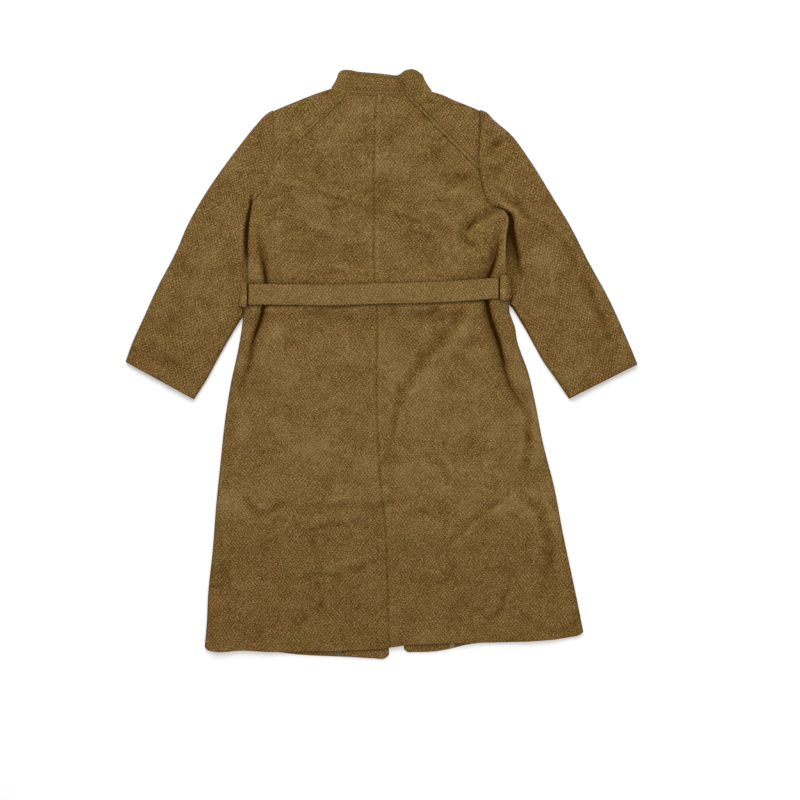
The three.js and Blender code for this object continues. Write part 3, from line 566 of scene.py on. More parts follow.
def crease_relief(x, y, laid):
    """Heights of soft troughs and ridges. Each wavers, fades to its ends and lifts the cloth beside it."""
    z = np.zeros(x.shape)
    uneven = np.clip(1 + waves(x, y, 33, 34, 0.32), 0.4, 1.6)
    x, y = x + waves(x, y, 31, 42, 1.8), y + waves(x, y, 32, 42, 1.8)
    for crease in laid:
        line, reach = soft_line(crease.path, 8), crease.width * 4
        low, high = line.min(0) - reach, line.max(0) + reach
        near = (x > low[0]) & (x < high[0]) & (y > low[1]) & (y < high[1])
        if near.any():
            away, share = from_line(x[near], y[near], line)
            length = length_of(line)
            fade = min(50, 0.45 * length)
            ends = smooth(share * length, 0, fade) * smooth((1 - share) * length, 0, fade)
            across = away / crease.width
            profile = bell(across, 1) - 0.3 * bell(across - 1.9, 1.1) - 0.12 * bell(across + 2.1, 1.2)
            z[near] += crease.depth * profile * ends
    return z * uneven


def fine_creases(x, y):
    """The small curving creases all over cloth that has been worn, from 0 to 1."""
    lines = bell(waves(x, y, 41, 42, 1), 0.22) + bell(waves(x, y, 42, 60, 1), 0.18)
    return lines * smooth(waves(x, y, 43, 80, 1), -0.7, 0.8)


def graded(length, step, start=None, end=None):
    """Shares of a length that stand step apart, and closer at an end whose first gap is given."""

    def run(gap):
        gaps = []
        while gap and gap < step:
            gaps.append(gap)
            gap *= 1.4
        return gaps

    head, tail = run(start), run(end)[::-1]
    rest = max(length - sum(head) - sum(tail), step)
    count = round(rest / step)
    reach = np.concatenate([[0], np.cumsum([*head, *[rest / count] * count, *tail])])
    return reach / reach[-1]


def patch(first, last, across, start=None, start_hold=0, end=None, end_hold=0):
    """A grid between two long edges. The curves of the short edges die out over the holds."""
    share = across[None, :, None]
    grid = first[:, None] * (1 - share) + last[:, None] * share
    for line, hold in ((start, start_hold), (end, end_hold)):
        if line is not None:
            bend = along(line, across) - (line[0] * (1 - share[0]) + line[-1] * share[0])
            hold = np.broadcast_to(np.array(hold, float).reshape(len(first), -1), grid.shape[:2])
            grid = grid + bend[None] * hold[..., None]
    return grid[..., 0], grid[..., 1]


# ------------------------------------------------------------------------------ heights of the back

LAYER_GAP = 1.2  # air between the back and the fronts
SEAM_GAP = 0.3  # air between pieces that lie on each other
THIN_WALL = 0.25  # the least that a wall may be
SEAM_SEWN = 0.06  # what shows between two panels sewn edge to edge
FOLD_HEIGHT = 3.2  # where the back meets the fronts at a folded side
STITCH_LINE = 8  # the yoke's topstitching stands this far from its seam
CREASE_LIMIT = 2.6  # the most that a crease sinks or lifts the cloth
SEAM_DEPTH = {"left": 0.35, "right": 1}  # the right armhole is pressed in more
YOKE_SEAM_DEPTH = {"left": 0.55, "right": 1.1}  # and so is the right yoke's seam
# Painted shade beside each sleeve, or a painted highlight where it is below 0.
SIDE_SHADE = {"left": (0.5, 2.8), "right": (-0.4, 5)}  # beside each sleeve: how dark, and how wide


def sizes():
    """The settings in millimetres."""
    values = bpy.context.scene.coat_sizes
    return {name: getattr(values, name) * 1000 for name in CoatSizes.__annotations__}


def belt_y(x):
    """Y of the belt's middle line."""
    return np.interp(x, BELT_LINE["x"], BELT_LINE["y"])


def belt_lift(x, y):
    """Rise of the cloth over the belt's ends, which lie under the fronts, one over the other."""
    size = sizes()
    level = size["belt_width"] / 2 + 3
    over = 1 - smooth(np.abs(y - belt_y(x)), level, level + 36)
    overlap = smooth(x, -100, -40) * (1 - smooth(x, 120, 180))
    return (size["belt"] + SEAM_GAP) * (1 + overlap) * over


def front_top(x, y):
    """Height of the fronts' inner side, on which the back lies."""
    return sizes()["cloth"] + belt_lift(x, y)


def inside_lift(x, y):
    """Rise of the back over the facings and the lining by the hem."""
    zone = INSIDE_LIFT
    start, end, side = zone["start"], zone["end"], zone["side"]
    across = smooth(x, start - side, start) * (1 - smooth(x, end, end + side))
    return zone["height"] * across * (1 - smooth(y, zone["top"], zone["top"] + zone["fade"]))


def centre_x(y):
    """X of the centre back seam."""
    line = soft_line(CENTRE_BACK)
    return np.interp(y, line[:, 1], line[:, 0])


def tuck_folds(side, x, y, z, free, bottom):
    """Heights with the belt's tuck folded in, and the shade painted inside and beside it."""
    rows = TUCKS[side]
    line = np.stack([rows["x"], rows["y"]], axis=1)
    away, share = from_line(x, y, soft_line(line, 6))
    away = -OUTWARD[side] * away
    deep, puff, strip, core = (
        np.interp(share, reach_of(line), rows[name]) for name in ("deep", "puff", "strip", "core")
    )
    z = z + free * puff * smooth(away, 0, 13) * (1 - smooth(away, 40, 130))
    z = z + free * strip * bell(away + 15, 11)
    soft, sharp = TUCK_SLOPE[side]
    hollow = deep * np.where(away > 0, bell(away, soft), bell(away, sharp))
    beside_it = np.where(away > 0, np.exp(-np.abs(away) / soft), bell(away, sharp))
    shade = deep * (0.65 * deep * bell(away, core) + (0.4 + 0.03 * soft) * beside_it)
    return z + (bottom - z) * hollow, shade


def armhole_seam(side, x, y):
    """Distance from the armhole, and how strongly its seam shows there."""
    away, share = from_line(x, y, soft_line(ARMHOLE[side], 6))
    return np.abs(away), SEAM_DEPTH[side] * (1 - 0.75 * smooth(share, 0.76, 0.9))


def laid_back(side, x, y):
    """The back's upper side as it lies on the fronts: its swell, creases and tuck, and the shade painted
    into them.
    """
    under = front_top(x, y)
    from_belt = y - belt_y(x)
    # Under the belt the cloth is pressed flatter.
    free = 0.3 + 0.7 * smooth(np.abs(from_belt), 20, 36)
    z = under + LAYER_GAP + sizes()["cloth"] + inside_lift(x, y)
    swell = waves(x, y, 11, 130, 0.9) + waves(x, y, 12, 52, 0.55) + waves(x, y, 13, 24, 0.22)
    relief = crease_relief(x, y, BACK_CREASES)
    fine = fine_creases(x, y)
    z = z + free * (1.8 + swell - 0.5 * fine + CREASE_LIMIT * np.tanh(relief / CREASE_LIMIT))
    bottom = under + SEAM_GAP + sizes()["cloth"]
    z, shade = tuck_folds(side, x, y, np.maximum(z, bottom), free, bottom)
    # Painted shade in the creases and painted light on their ridges. Painted light makes the skirt a little
    # lighter and smoother below the belt, and painted shade makes it darker towards the hem.
    skirt_painted_light = smooth(-y, -130, 0) * (1 - smooth(-y, 260, 400))
    shade = shade + free * (0.23 * (1 - 0.5 * skirt_painted_light) * fine - 0.058 * relief - 0.03 * swell)
    by_hem = (0.045 + 0.016 * smooth(-x, 0, 120)) * smooth(-y, 250, 420)
    shade = shade + by_hem - (0.04 + 0.01 * smooth(x, 0, 120)) * skirt_painted_light
    # Painted shade beside the belt's two edges, the upper one more.
    shade = shade + 0.14 * bell(from_belt + BELT_EDGE, 3.2) + 0.3 * bell(from_belt - BELT_EDGE, 2.6)
    return z, shade


def roll_sides(side, x, y, z, shade):
    """Rolls the back down to its folded side and shoulder, and paints shade along them."""
    fold, _ = from_line(x, y, soft_line(SIDE_EDGE[side], 8))
    shoulder, _ = from_line(x, y, soft_line(SHOULDER[side], 8))
    edge = np.minimum(np.abs(fold), np.abs(shoulder))
    roll = SIDE_ROLL[side]
    z = FOLD_HEIGHT + (z - FOLD_HEIGHT) * rounded(edge, np.interp(y, roll["y"], roll["radius"]))
    by_belt = smooth(y, 96, 112) * (1 - smooth(y, 196, 216))
    by_sleeve = smooth(y, 196, 216) * (1 - smooth(y, 300, 330))
    # Painted shade along the folded edges, except beside the belt.
    shade = shade + 0.3 * (1 - by_belt) * bell(edge, 2.4)
    # Beside its sleeve the left side gets painted shadow, and the right side a painted highlight.
    deep, wide = SIDE_SHADE[side]
    return z, shade + deep * by_sleeve * bell(fold, wide)


def press_seams(side, x, y, z, shade):
    """Sinks the back's centre seam, armhole seam, yoke seam and topstitching, paints shade into them, and
    paints a little light beside the centre seam and the yoke seam.
    """
    centre = x - centre_x(y)
    deep = 1 + 0.6 * smooth(-y, 170, 230)
    z = z - deep * bell(centre, 1.8) - 0.5 * bell(centre, 7) + 0.12 * bell(centre - 7, 4)
    shade = shade + 0.23 * bell(centre + 1, 2.2) - 0.05 * bell(centre - 5, 3.4)
    armhole, seam = armhole_seam(side, x, y)
    z = z - seam * (1.9 * bell(armhole, 1.9) + 1.1 * bell(armhole, 7))
    shade = shade + seam * (0.3 * bell(armhole, 1.4) + 0.1 * bell(armhole, 6))
    yoke, share = from_line(x, y, soft_line(YOKE_SEAM[side], 8))
    yoke = yoke * OUTWARD[side]
    shown = smooth(share, 0, 0.04) * YOKE_SEAM_DEPTH[side]
    z = z - (0.5 + 0.8 * shown) * bell(yoke, 1.8) + 0.6 * smooth(yoke, 0, 2.5) * (1 - smooth(yoke, 9, 26))
    z = z - 0.5 * shown * bell(yoke - STITCH_LINE, 1.4)
    shade = shade + shown * (0.36 * bell(yoke, 1.4) - 0.12 * bell(yoke - 4, 2.2))
    return z, shade + 0.36 * shown * bell(yoke - STITCH_LINE, 1.6)


def back_surface(side, x, y):
    """Height of the back's upper side, and the shade and light painted into its colour: above 0 painted
    shade, below 0 painted light.
    """
    z, shade = laid_back(side, x, y)
    z, shade = roll_sides(side, x, y, z, shade)
    return press_seams(side, x, y, z, shade)


# ----------------------------------------------------------------------------------- making meshes

SHARP_EDGE = math.radians(60)


def frame_shift():
    """Where the coat's own origin stands in the fixed frame, in millimetres."""
    low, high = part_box("belt_loop_left")
    middle = (np.array(low) + np.array(high)) * 500
    return np.array([middle[0] - LEFT_LOOP_X, middle[1] - belt_y(LEFT_LOOP_X), 0])


def normals_of(grid):
    """The direction in which each point of a grid faces."""
    down, across = np.gradient(grid, axis=0), np.gradient(grid, axis=1)
    normal = np.cross(across, down)
    return normal / np.maximum(np.linalg.norm(normal, axis=2, keepdims=True), 1e-9)


def new_piece(name, points, faces):
    """A smooth mesh object. Its points are in the fixed frame, in millimetres."""
    mesh = bpy.data.meshes.new(name)
    mesh.from_pydata((points / 1000).tolist(), [], faces)
    mesh.shade_smooth()
    piece = bpy.data.objects.new(name, mesh)
    bpy.context.scene.collection.objects.link(piece)
    return piece


def shell(name, over, under, shade, cloth_map=None, ring=False):
    """A closed wall between two skins. cloth_map is where the weave runs, in mm: x and y if not given."""
    rows, columns = over.shape[:2]
    cells = columns if ring else columns - 1
    row, column = np.mgrid[0 : rows - 1, 0:cells]
    after = (column + 1) % columns
    a, b = row * columns + column, row * columns + after
    skin = np.stack([a, b, b + columns, a + columns], axis=-1).reshape(-1, 4)
    low = rows * columns
    faces = [skin, skin[:, ::-1] + low]
    line, ahead = np.arange(cells), (np.arange(cells) + 1) % columns
    last = (rows - 1) * columns
    faces.append(np.stack([line + low, ahead + low, ahead, line], axis=-1))
    faces.append(np.stack([line + last, ahead + last, ahead + last + low, line + last + low], axis=-1))
    if not ring:
        start = np.arange(rows - 1) * columns
        end = start + columns - 1
        faces.append(np.stack([start, start + columns, start + columns + low, start + low], axis=-1))
        faces.append(np.stack([end + low, end + low + columns, end + columns, end], axis=-1))
    faces = np.concatenate(faces)
    points = np.concatenate([over.reshape(-1, 3), under.reshape(-1, 3)]) + frame_shift()
    piece = new_piece(name, points, faces.tolist())
    mesh = piece.data
    mesh.set_sharp_from_angle(angle=SHARP_EDGE)
    corner = np.zeros(len(mesh.loops), np.int32)
    mesh.loops.foreach_get("vertex_index", corner)
    cloth_map = over[..., :2] if cloth_map is None else cloth_map
    flat = np.concatenate([cloth_map.reshape(-1, 2)] * 2) / 1000
    mesh.uv_layers.new(name="cloth").data.foreach_set("uv", flat[corner].astype(np.float32).ravel())
    # The shade painted into the cloth's colour, on both skins.
    inside = mesh.attributes.new("shade", "FLOAT", "POINT")
    inside.data.foreach_set("value", np.concatenate([shade.ravel()] * 2).astype(np.float32))
    if mesh_volume(points, faces) < 0:
        mesh.flip_normals()
    return piece


def mesh_volume(points, faces):
    """The volume inside a closed mesh of four-sided faces, below 0 if they face in."""
    a, b, c, d = (points[faces[:, i]] for i in range(4))
    return float(((a * np.cross(b, c)).sum() + (a * np.cross(c, d)).sum()) / 6)


def settle(piece, node, material=None):
    """Gives a piece its cloth and its place in the frame, and hides the part that it stands for."""
    piece.data.materials.append(material or wool_tweed())
    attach(piece, "root")
    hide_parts(node)


def stack(*coordinates):
    """Points, or a grid of points, from their coordinates."""
    return np.stack(np.broadcast_arrays(*coordinates), axis=-1)


# --------------------------------------------------------------------------------------- materials

GRAIN_WIDTH, GRAIN_LENGTH = 7.1, 8.9  # of the barleycorn weave
TONE_SPREAD = 1.67  # from the tweed's middle tone to its lightest and its darkest


def add_node(tree, kind, inputs=None, **settings):
    """A node with its settings. An input takes a value, an output, or a node for its first output."""
    node = tree.nodes.new(f"ShaderNode{kind}")
    for name, value in settings.items():
        setattr(node, name, value)
    for name, value in (inputs or {}).items():
        if isinstance(value, bpy.types.Node):
            value = value.outputs[0]
        if isinstance(value, bpy.types.NodeSocket):
            tree.links.new(value, node.inputs[name])
        else:
            node.inputs[name].default_value = value
    return node


def new_material(name):
    """An empty material, and the tree that holds its nodes."""
    material = bpy.data.materials.new(name)
    material.use_nodes = True
    material.node_tree.nodes.clear()
    return material, material.node_tree


def wool_tweed():
    """Fulled wool tweed in a barleycorn weave: two tones of yarn in short slanting grains, under a
    brushed nap. To the eye it is matt, flecked up close and softly mottled from afar."""
    found = bpy.data.materials.get("wool_tweed_barleycorn_fulled")
    if found:
        return found
    colours = bpy.context.scene.coat_colours
    material, tree = new_material("wool_tweed_barleycorn_fulled")
    uv = add_node(tree, "UVMap", uv_map="cloth")
    cloth = add_node(tree, "VectorMath", {0: uv, 1: (1000, 1000, 0)}, operation="MULTIPLY")
    # Yarn isn't straight: it wanders by about a millimetre.
    wander = add_node(tree, "TexNoise", {"Vector": cloth, "Scale": 0.09, "Detail": 2}).outputs["Color"]
    pushed = add_node(tree, "VectorMath", {0: wander, 1: (5, 5, 0)}, operation="MULTIPLY")
    moved = add_node(tree, "VectorMath", {0: cloth, 1: pushed}, operation="ADD")
    # Two sets of slanting yarns cross in a grain, and there is one more grain between each four.
    axis = add_node(tree, "SeparateXYZ", {0: moved}).outputs
    across = add_node(tree, "Math", {0: axis[0], 1: math.tau / GRAIN_WIDTH}, operation="MULTIPLY")
    slants = []
    for way in (math.tau / GRAIN_LENGTH, -math.tau / GRAIN_LENGTH):
        turn = add_node(tree, "Math", {0: axis[1], 1: way, 2: across}, operation="MULTIPLY_ADD")
        slants.append(add_node(tree, "Math", {0: turn}, operation="SINE"))
    # One slant shows more in some places, and the other elsewhere.
    lead = add_node(tree, "TexNoise", {"Vector": cloth, "Scale": 0.06, "Detail": 2})
    spread = {"From Min": 0.38, "From Max": 0.62, "To Min": 0.32, "To Max": 0.68}
    lead = add_node(tree, "MapRange", {0: lead, **spread})
    weave = add_node(tree, "Mix", {0: lead, 2: slants[0], 3: slants[1]}, data_type="FLOAT")
    # The nap hides the grains in some places.
    worn = add_node(tree, "TexNoise", {"Vector": moved, "Scale": 0.12, "Detail": 2, "Roughness": 0.6})
    worn = add_node(tree, "MapRange", {0: worn, "To Min": -0.22, "To Max": 1.21})
    tone = add_node(tree, "Math", {0: weave, 1: worn}, operation="MULTIPLY")
    # Flecks and patches of the mixed yarns: how fine each sort is, its detail, its share and its place.
    mixture = (
        (0.55, 1, 6.2, moved),
        (0.3, 1, 1.8, moved),
        (0.13, 1, 1.0, moved),
        (0.06, 2, 0.62, cloth),
        (0.026, 2, 0.8, cloth),
    )
    for fine, detail, gain, place in mixture:
        grain = {"Vector": place, "Scale": fine, "Detail": detail, "Roughness": 0.6}
        flecks = add_node(tree, "TexNoise", grain)
        tone = add_node(tree, "Math", {0: flecks, 1: gain, 2: tone}, operation="MULTIPLY_ADD")
    middle = sum(gain for _, _, gain, _ in mixture) / 2
    spread = {"From Min": middle - TONE_SPREAD, "From Max": middle + TONE_SPREAD}
    tone = add_node(tree, "MapRange", {0: tone, **spread})
    ramp = add_node(tree, "ValToRGB", {0: tone})
    ramp.color_ramp.elements[0].color = colours.yarn_dark
    ramp.color_ramp.elements[1].color = colours.yarn_light
    ramp.color_ramp.elements.new(0.5).color = colours.yarn
    # The dye takes unevenly, a little greener here and redder there, over a hand's breadth.
    dye = add_node(tree, "TexNoise", {"Vector": cloth, "Scale": 0.014, "Detail": 3})
    dyed = add_node(tree, "ValToRGB", {0: dye})
    tints = ((0.3, (0.97, 1.01, 0.94, 1)), (0.7, (1.03, 0.99, 1.05, 1)))
    for stop, (place, tint) in zip(dyed.color_ramp.elements, tints):
        stop.position, stop.color = place, tint
    coloured = add_node(
        tree, "Mix", {0: 1.0, 6: ramp, 7: dyed}, data_type="RGBA", blend_type="MULTIPLY"
    ).outputs[2]
    # Painted shade and light, from the shade attribute: above 0 the colour goes darker and warmer in folds,
    # creases and seams, and below 0 lighter, a painted highlight on ridges.
    shade = add_node(tree, "Attribute", attribute_name="shade").outputs["Fac"]
    painted_shade_and_light = ((0.35, "MULTIPLY", "#FFFBEA"), (1, "MIX", "#2B1500"), (-1, "MIX", "#B39A66"))
    for full, blend, colour in painted_shade_and_light:
        amount = add_node(tree, "MapRange", {"Value": shade, "From Min": 0, "From Max": full})
        coloured = add_node(
            tree, "Mix", {0: amount, 6: coloured, 7: linear(colour)}, data_type="RGBA", blend_type=blend
        ).outputs[2]
    fibre = add_node(tree, "TexNoise", {"Vector": cloth, "Scale": 1.1, "Detail": 4, "Roughness": 0.75})
    height = add_node(tree, "Math", {0: fibre, 1: 2.0, 2: weave}, operation="MULTIPLY_ADD")
    bump = add_node(tree, "Bump", {"Height": height, "Strength": 0.55, "Distance": 0.0003})
    shader = add_node(
        tree, "BsdfPrincipled",
        {"Base Color": coloured, "Normal": bump, "Roughness": 0.95, "Specular IOR Level": 0.03,
         "Sheen Weight": 0.05, "Sheen Roughness": 0.5, "Sheen Tint": linear("#B59A6A")},
    )
    add_node(tree, "OutputMaterial", {0: shader})
    return material


def sewing_thread():
    """Twisted polyester sewing thread. It is smoother than the wool, and catches a little light."""
    found = bpy.data.materials.get("polyester_thread_twisted")
    if found:
        return found
    material, tree = new_material("polyester_thread_twisted")
    place = add_node(tree, "TexCoord").outputs["Object"]
    # The twist, 0.5 mm long, is too fine to show. A wave that repeats every 13 mm from left to right
    # gives the stitches different tones instead.
    wave = {"Vector": place, "Scale": 50, "Distortion": 1}
    stitches = add_node(tree, "TexWave", wave, bands_direction="DIAGONAL")
    tone = add_node(tree, "ValToRGB", {0: stitches})
    tone.color_ramp.elements[0].color = linear("#523E20")
    tone.color_ramp.elements[1].color = linear("#7E663C")
    shader = add_node(
        tree, "BsdfPrincipled", {"Base Color": tone, "Roughness": 0.6, "Specular IOR Level": 0.3}
    )
    add_node(tree, "OutputMaterial", {0: shader})
    return material


def lining_twill():
    """Viscose lining in a fine twill. It is smoother than the tweed, with a low silky shine."""
    found = bpy.data.materials.get("viscose_lining_twill")
    if found:
        return found
    material, tree = new_material("viscose_lining_twill")
    uv = add_node(tree, "UVMap", uv_map="cloth")
    # Real twill lines stand 0.4 mm apart, too fine to show. They are drawn coarse, 14 mm apart.
    wave = {"Vector": uv, "Scale": 31.25, "Distortion": 0.4, "Detail": 1}
    lines = add_node(tree, "TexWave", wave, bands_direction="DIAGONAL")
    tone = add_node(tree, "ValToRGB", {0: lines})
    own = bpy.context.scene.coat_colours.lining
    for stop, gain in zip(tone.color_ramp.elements, (0.86, 1.1)):
        stop.color = [min(1, c * gain) for c in own[:3]] + [1]
    # Painted shade from the shade attribute darkens the lining towards #15120E.
    shade = add_node(tree, "Attribute", attribute_name="shade").outputs["Fac"]
    coloured = add_node(tree, "Mix", {0: shade, 6: tone, 7: linear("#15120E")}, data_type="RGBA").outputs[2]
    bump = add_node(tree, "Bump", {"Height": lines, "Strength": 0.2, "Distance": 0.0002})
    shader = add_node(
        tree, "BsdfPrincipled",
        {"Base Color": coloured, "Normal": bump, "Roughness": 0.5, "Sheen Weight": 0.1},
    )
    add_node(tree, "OutputMaterial", {0: shader})
    return material


# ---------------------------------------------------------------------------------------- the pieces


def make_back(side):
    """A back panel, from hem to neck between its side, its armhole, its yoke seam and the centre seam."""
    size = sizes()
    armhole = ARMHOLE[side][YOKE_CORNER:][::-1]
    edges = [soft_line(SIDE_EDGE[side]), soft_line(armhole), soft_line(YOKE_SEAM[side][::-1])]
    step = size["mesh_step"]
    first, centre = [], []
    for i, line in enumerate(edges):
        shares = graded(length_of(line), step, start=0.6 if i == 0 else None, end=0.8 if i == 2 else None)
        shares = shares if i == 0 else shares[1:]
        first.append(along(line, shares))
        centre.append(CENTRE_LEVELS[i] + (CENTRE_LEVELS[i + 1] - CENTRE_LEVELS[i]) * shares)
    first, centre = np.concatenate(first), np.concatenate(centre)
    last = np.stack([centre_x(centre) + OUTWARD[side] * SEAM_SEWN / 2, centre], axis=1)
    hem = soft_line(BACK_HEM)
    hem_x = np.linspace(first[0, 0], last[0, 0], 160)
    hem = np.stack([hem_x, np.interp(hem_x, hem[:, 0], hem[:, 1])], axis=1)
    across, up = graded(BACK_WIDTH, step, start=0.7, end=0.7), centre - centre[0]
    x, y = patch(first, last, across, start=hem, start_hold=1 - smooth(up, 0, 110))
    z, shade = back_surface(side, x, y)
    z = z - 1.4 * (1 - rounded(np.abs(up), 1.6)[:, None])
    over = stack(x, y, z)
    # Where the cloth is steep its wall is deeper, but it doesn't reach into what it lies on.
    low = z - size["cloth"] / np.clip(np.abs(normals_of(over)[..., 2]), 0.45, 1)
    lies_on = front_top(x, y) + inside_lift(x, y) + THIN_WALL
    under = stack(x, y, np.maximum(low, np.minimum(lies_on, z - THIN_WALL)))
    piece = shell(f"back_{side}_tweed", over, under, shade)
    settle(piece, f"back_{side}")


def shade_under_hem(x, y):
    """Painted shadow on what lies under the back's hem, where the hem casts its shadow."""
    return 0.45 * bell(from_line(x, y, soft_line(BACK_HEM))[0], 2.6)


def make_front(side):
    """A front, lying face down under the back."""
    # Its rows stand close together by the hem, where it shows.
    by_hem = np.linspace(0, 0.03, 20)[:-1]
    up_side = 0.03 + 0.97 * graded(FRONT_RUNS["side"], FRONT_STEP, start=1.5)
    first = np.concatenate(
        [
            along(soft_line(SIDE_EDGE[side]), np.concatenate([by_hem, up_side])),
            along(soft_line(ARMHOLE[side][::-1]), graded(FRONT_RUNS["armhole"], FRONT_STEP))[1:],
            along(soft_line(SHOULDER[side][::-1]), graded(FRONT_RUNS["shoulder"], FRONT_STEP))[1:],
        ]
    )
    share = reach_of(first)
    front_edge = np.array(FRONT_EDGE[side], float)
    last = along(front_edge, share)
    across = graded(FRONT_WIDTH, FRONT_STEP, start=0.7, end=0.7)
    hem, neck = soft_line(FRONT_HEM[side]), soft_line(FRONT_NECK[side])
    x, y = patch(first, last, across, hem, 1 - smooth(share, 0, 0.09), neck, smooth(share, 0.8, 1) ** 3)
    fold = np.abs(from_line(x, y, soft_line(SIDE_EDGE[side], 8))[0])
    from_hem = (share * FRONT_LENGTH)[:, None]
    cut = np.minimum(from_hem, np.abs(from_line(x, y, front_edge)[0]))
    top = front_top(x, y) + 0.5 * (1 - smooth(fold, 0, 6)) - 1.1 * (1 - rounded(cut, 1.5))
    low = belt_lift(x, y) + 2.5 * (1 - rounded(fold, 3.2)) + 0.6 * (1 - rounded(cut, 1.5))
    over = stack(x, y, np.maximum(top, low + 0.2))
    piece = shell(f"front_{side}_tweed", over, stack(x, y, low), shade_under_hem(x, y))
    settle(piece, f"front_{side}")


def make_stitches(name, lines):
    """Topstitching along lines of points: round thread, drawn in a little where each stitch ends."""
    pitch, length, thick, sides = 3.6, 2.8, 0.42, 6
    turn = np.radians(np.arange(sides) * 360 / sides)[:, None]
    profile = ((-0.5, 0.35), (-0.32, 1), (0.32, 1), (0.5, 0.35))
    points, faces = [], []
    for line in lines:
        total = length_of(line)
        for place in np.arange(pitch, total - pitch, pitch):
            start, end = along(line, np.array([place - length / 2, place + length / 2]) / total)
            ahead = end - start
            across = np.cross((0, 0, 1), ahead)
            across /= np.linalg.norm(across)
            up = np.cross(ahead, across) / np.linalg.norm(ahead)
            ring = np.cos(turn) * across + np.sin(turn) * up
            first = len(points)
            for share, swell in profile:
                points.extend((start + end) / 2 + ahead * share + ring * thick * swell)
            last = len(points) - sides
            for k in range(first, last, sides):
                for i in range(sides):
                    a, b = k + i, k + (i + 1) % sides
                    faces.append((a, b, b + sides, a + sides))
            faces.append(tuple(range(first + sides - 1, first - 1, -1)))
            faces.append(tuple(range(last, last + sides)))
    piece = new_piece(name, np.array(points) + frame_shift(), faces)
    piece.data.materials.append(sewing_thread())
    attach(piece, "root")
    return piece


def make_yoke(side):
    """A back yoke, from the shoulder fold down to its slanting seam."""
    size = sizes()
    across = graded(YOKE_WIDTH, size["mesh_step"] / 2, start=0.8, end=0.8)
    down = graded(YOKE_HEIGHT, size["mesh_step"] / 2, start=0.6, end=0.6)
    seam = soft_line(YOKE_SEAM[side])
    top = along(soft_line(SHOULDER[side]), across)
    bottom = along(seam, across) + np.array([0, SEAM_SEWN * math.sqrt(2)])
    x, y = patch(top, bottom, down)
    # The side by the sleeve bends with the armhole.
    bend = along(soft_line(ARMHOLE[side][: YOKE_CORNER + 1]), down)
    bend = bend - (bend[:1] * (1 - down[:, None]) + bend[-1:] * down[:, None])
    hold = (across**4)[:, None]
    x, y = x + bend[None, :, 0] * hold, y + bend[None, :, 1] * hold
    z, shade = back_surface(side, x, y)
    low = np.maximum(z - size["cloth"], np.minimum(front_top(x, y) + THIN_WALL, z - THIN_WALL))
    piece = shell(f"yoke_{side}_tweed", stack(x, y, z), stack(x, y, np.maximum(low, 0.1)), shade)
    line = beside(seam, STITCH_LINE * OUTWARD[side])[4:-3]
    height = back_surface(side, line[:, 0], line[:, 1])[0] + 0.1
    stitches = make_stitches(f"yoke_{side}_topstitching", [np.column_stack([line, height])])
    settle(piece, f"yoke_{side}")


def sleeve_edges(side, down):
    """A sleeve's outer and inner edge, and the rows where the inner one is sewn to the body."""
    outer = soft_line(SLEEVE_OUTER[side])
    # The armhole line stands off the body by as much as a sewn seam shows.
    head = beside(soft_line(ARMHOLE[side]), SEAM_SEWN * OUTWARD[side])
    inner = np.concatenate([head, soft_line(SLEEVE_INNER[side])])
    sewn = down[:, None] < reach_of(inner)[len(head) - 1]
    return along(outer, down), along(inner, down), sewn


def sleeve_surface(side, down, across, first, last, sewn):
    """X, y and height of a sleeve's upper layer, and the shade painted into its folds and edges."""
    size, rows = sizes(), SLEEVE_BANK[side]
    wide, crest, hollow, dark, deep, edge = (
        np.interp(down, rows["share"], rows[name])[:, None]
        for name in ("wide", "crest", "hollow", "dark", "deep", "edge")
    )
    body, _ = back_surface(side, last[:, 0], last[:, 1])
    at_body = np.where(sewn, body[:, None], edge)
    width = np.linalg.norm(first - last, axis=1)[:, None]
    from_outer, from_inner = across[None] * width, (1 - across[None]) * width
    to_cuff = ((1 - down) * SLEEVE_LENGTH)[:, None]
    x, y = patch(first, last, across)
    swell = waves(x, y, 21, 110, 0.8) + waves(x, y, 22, 45, 0.5) + waves(x, y, 23, 22, 0.2)
    relief = crease_relief(x, y, SLEEVE_CREASES[side])
    fine = fine_creases(x, y)
    z = 2 * size["cloth"] + LAYER_GAP + 3.5 + swell - 0.5 * fine
    z = z + CREASE_LIMIT * np.tanh(relief / CREASE_LIMIT)
    z = z + crest * (1 - smooth(from_inner, wide, wide + 55))
    slope = from_inner / wide
    rise = rounded(slope, 1) * (1 - hollow) + smooth(slope, 0, 1) ** 1.4 * hollow
    z = at_body + (np.maximum(z, 5) - at_body) * rise
    z = FOLD_HEIGHT + (z - FOLD_HEIGHT) * rounded(from_outer, 6)
    from_head, seam = armhole_seam(side, x, y)
    z = z - 0.5 * seam * bell(from_head, 2.2) - 1.3 * (1 - rounded(to_cuff, 1.6))
    z = z - 0.45 * bell(to_cuff - CUFF_HEM, 3)

    # Painted shade in the slit by the body, a painted shadow under the ridge beside it, and painted shade
    # along the outer fold, in the creases, at the armhole and at the cuff; painted light on the ridges.
    shade = deep * (1 - smooth(from_inner, dark * (0.5 + 0.2 * hollow), dark * (1.3 - 0.1 * hollow)))
    ridge_painted_shadow = smooth(deep, 0.1, 0.5) * hollow * bell(from_inner - dark * 0.82, 5)
    shade = shade + 0.45 * ridge_painted_shadow + 0.3 * bell(from_outer, 2.4)
    shade = shade - 0.055 * relief - 0.03 * swell + 0.18 * fine
    shade = shade + seam * (0.3 * bell(from_head, 1.4) + 0.1 * bell(from_head, 6))
    shade = shade + 0.25 * bell(to_cuff, 2) + 0.06 * bell(to_cuff - CUFF_HEM, 2)
    return x, y, z, shade + CUFF_SHADE[side] * (1 - smooth(to_cuff, 60, 240))


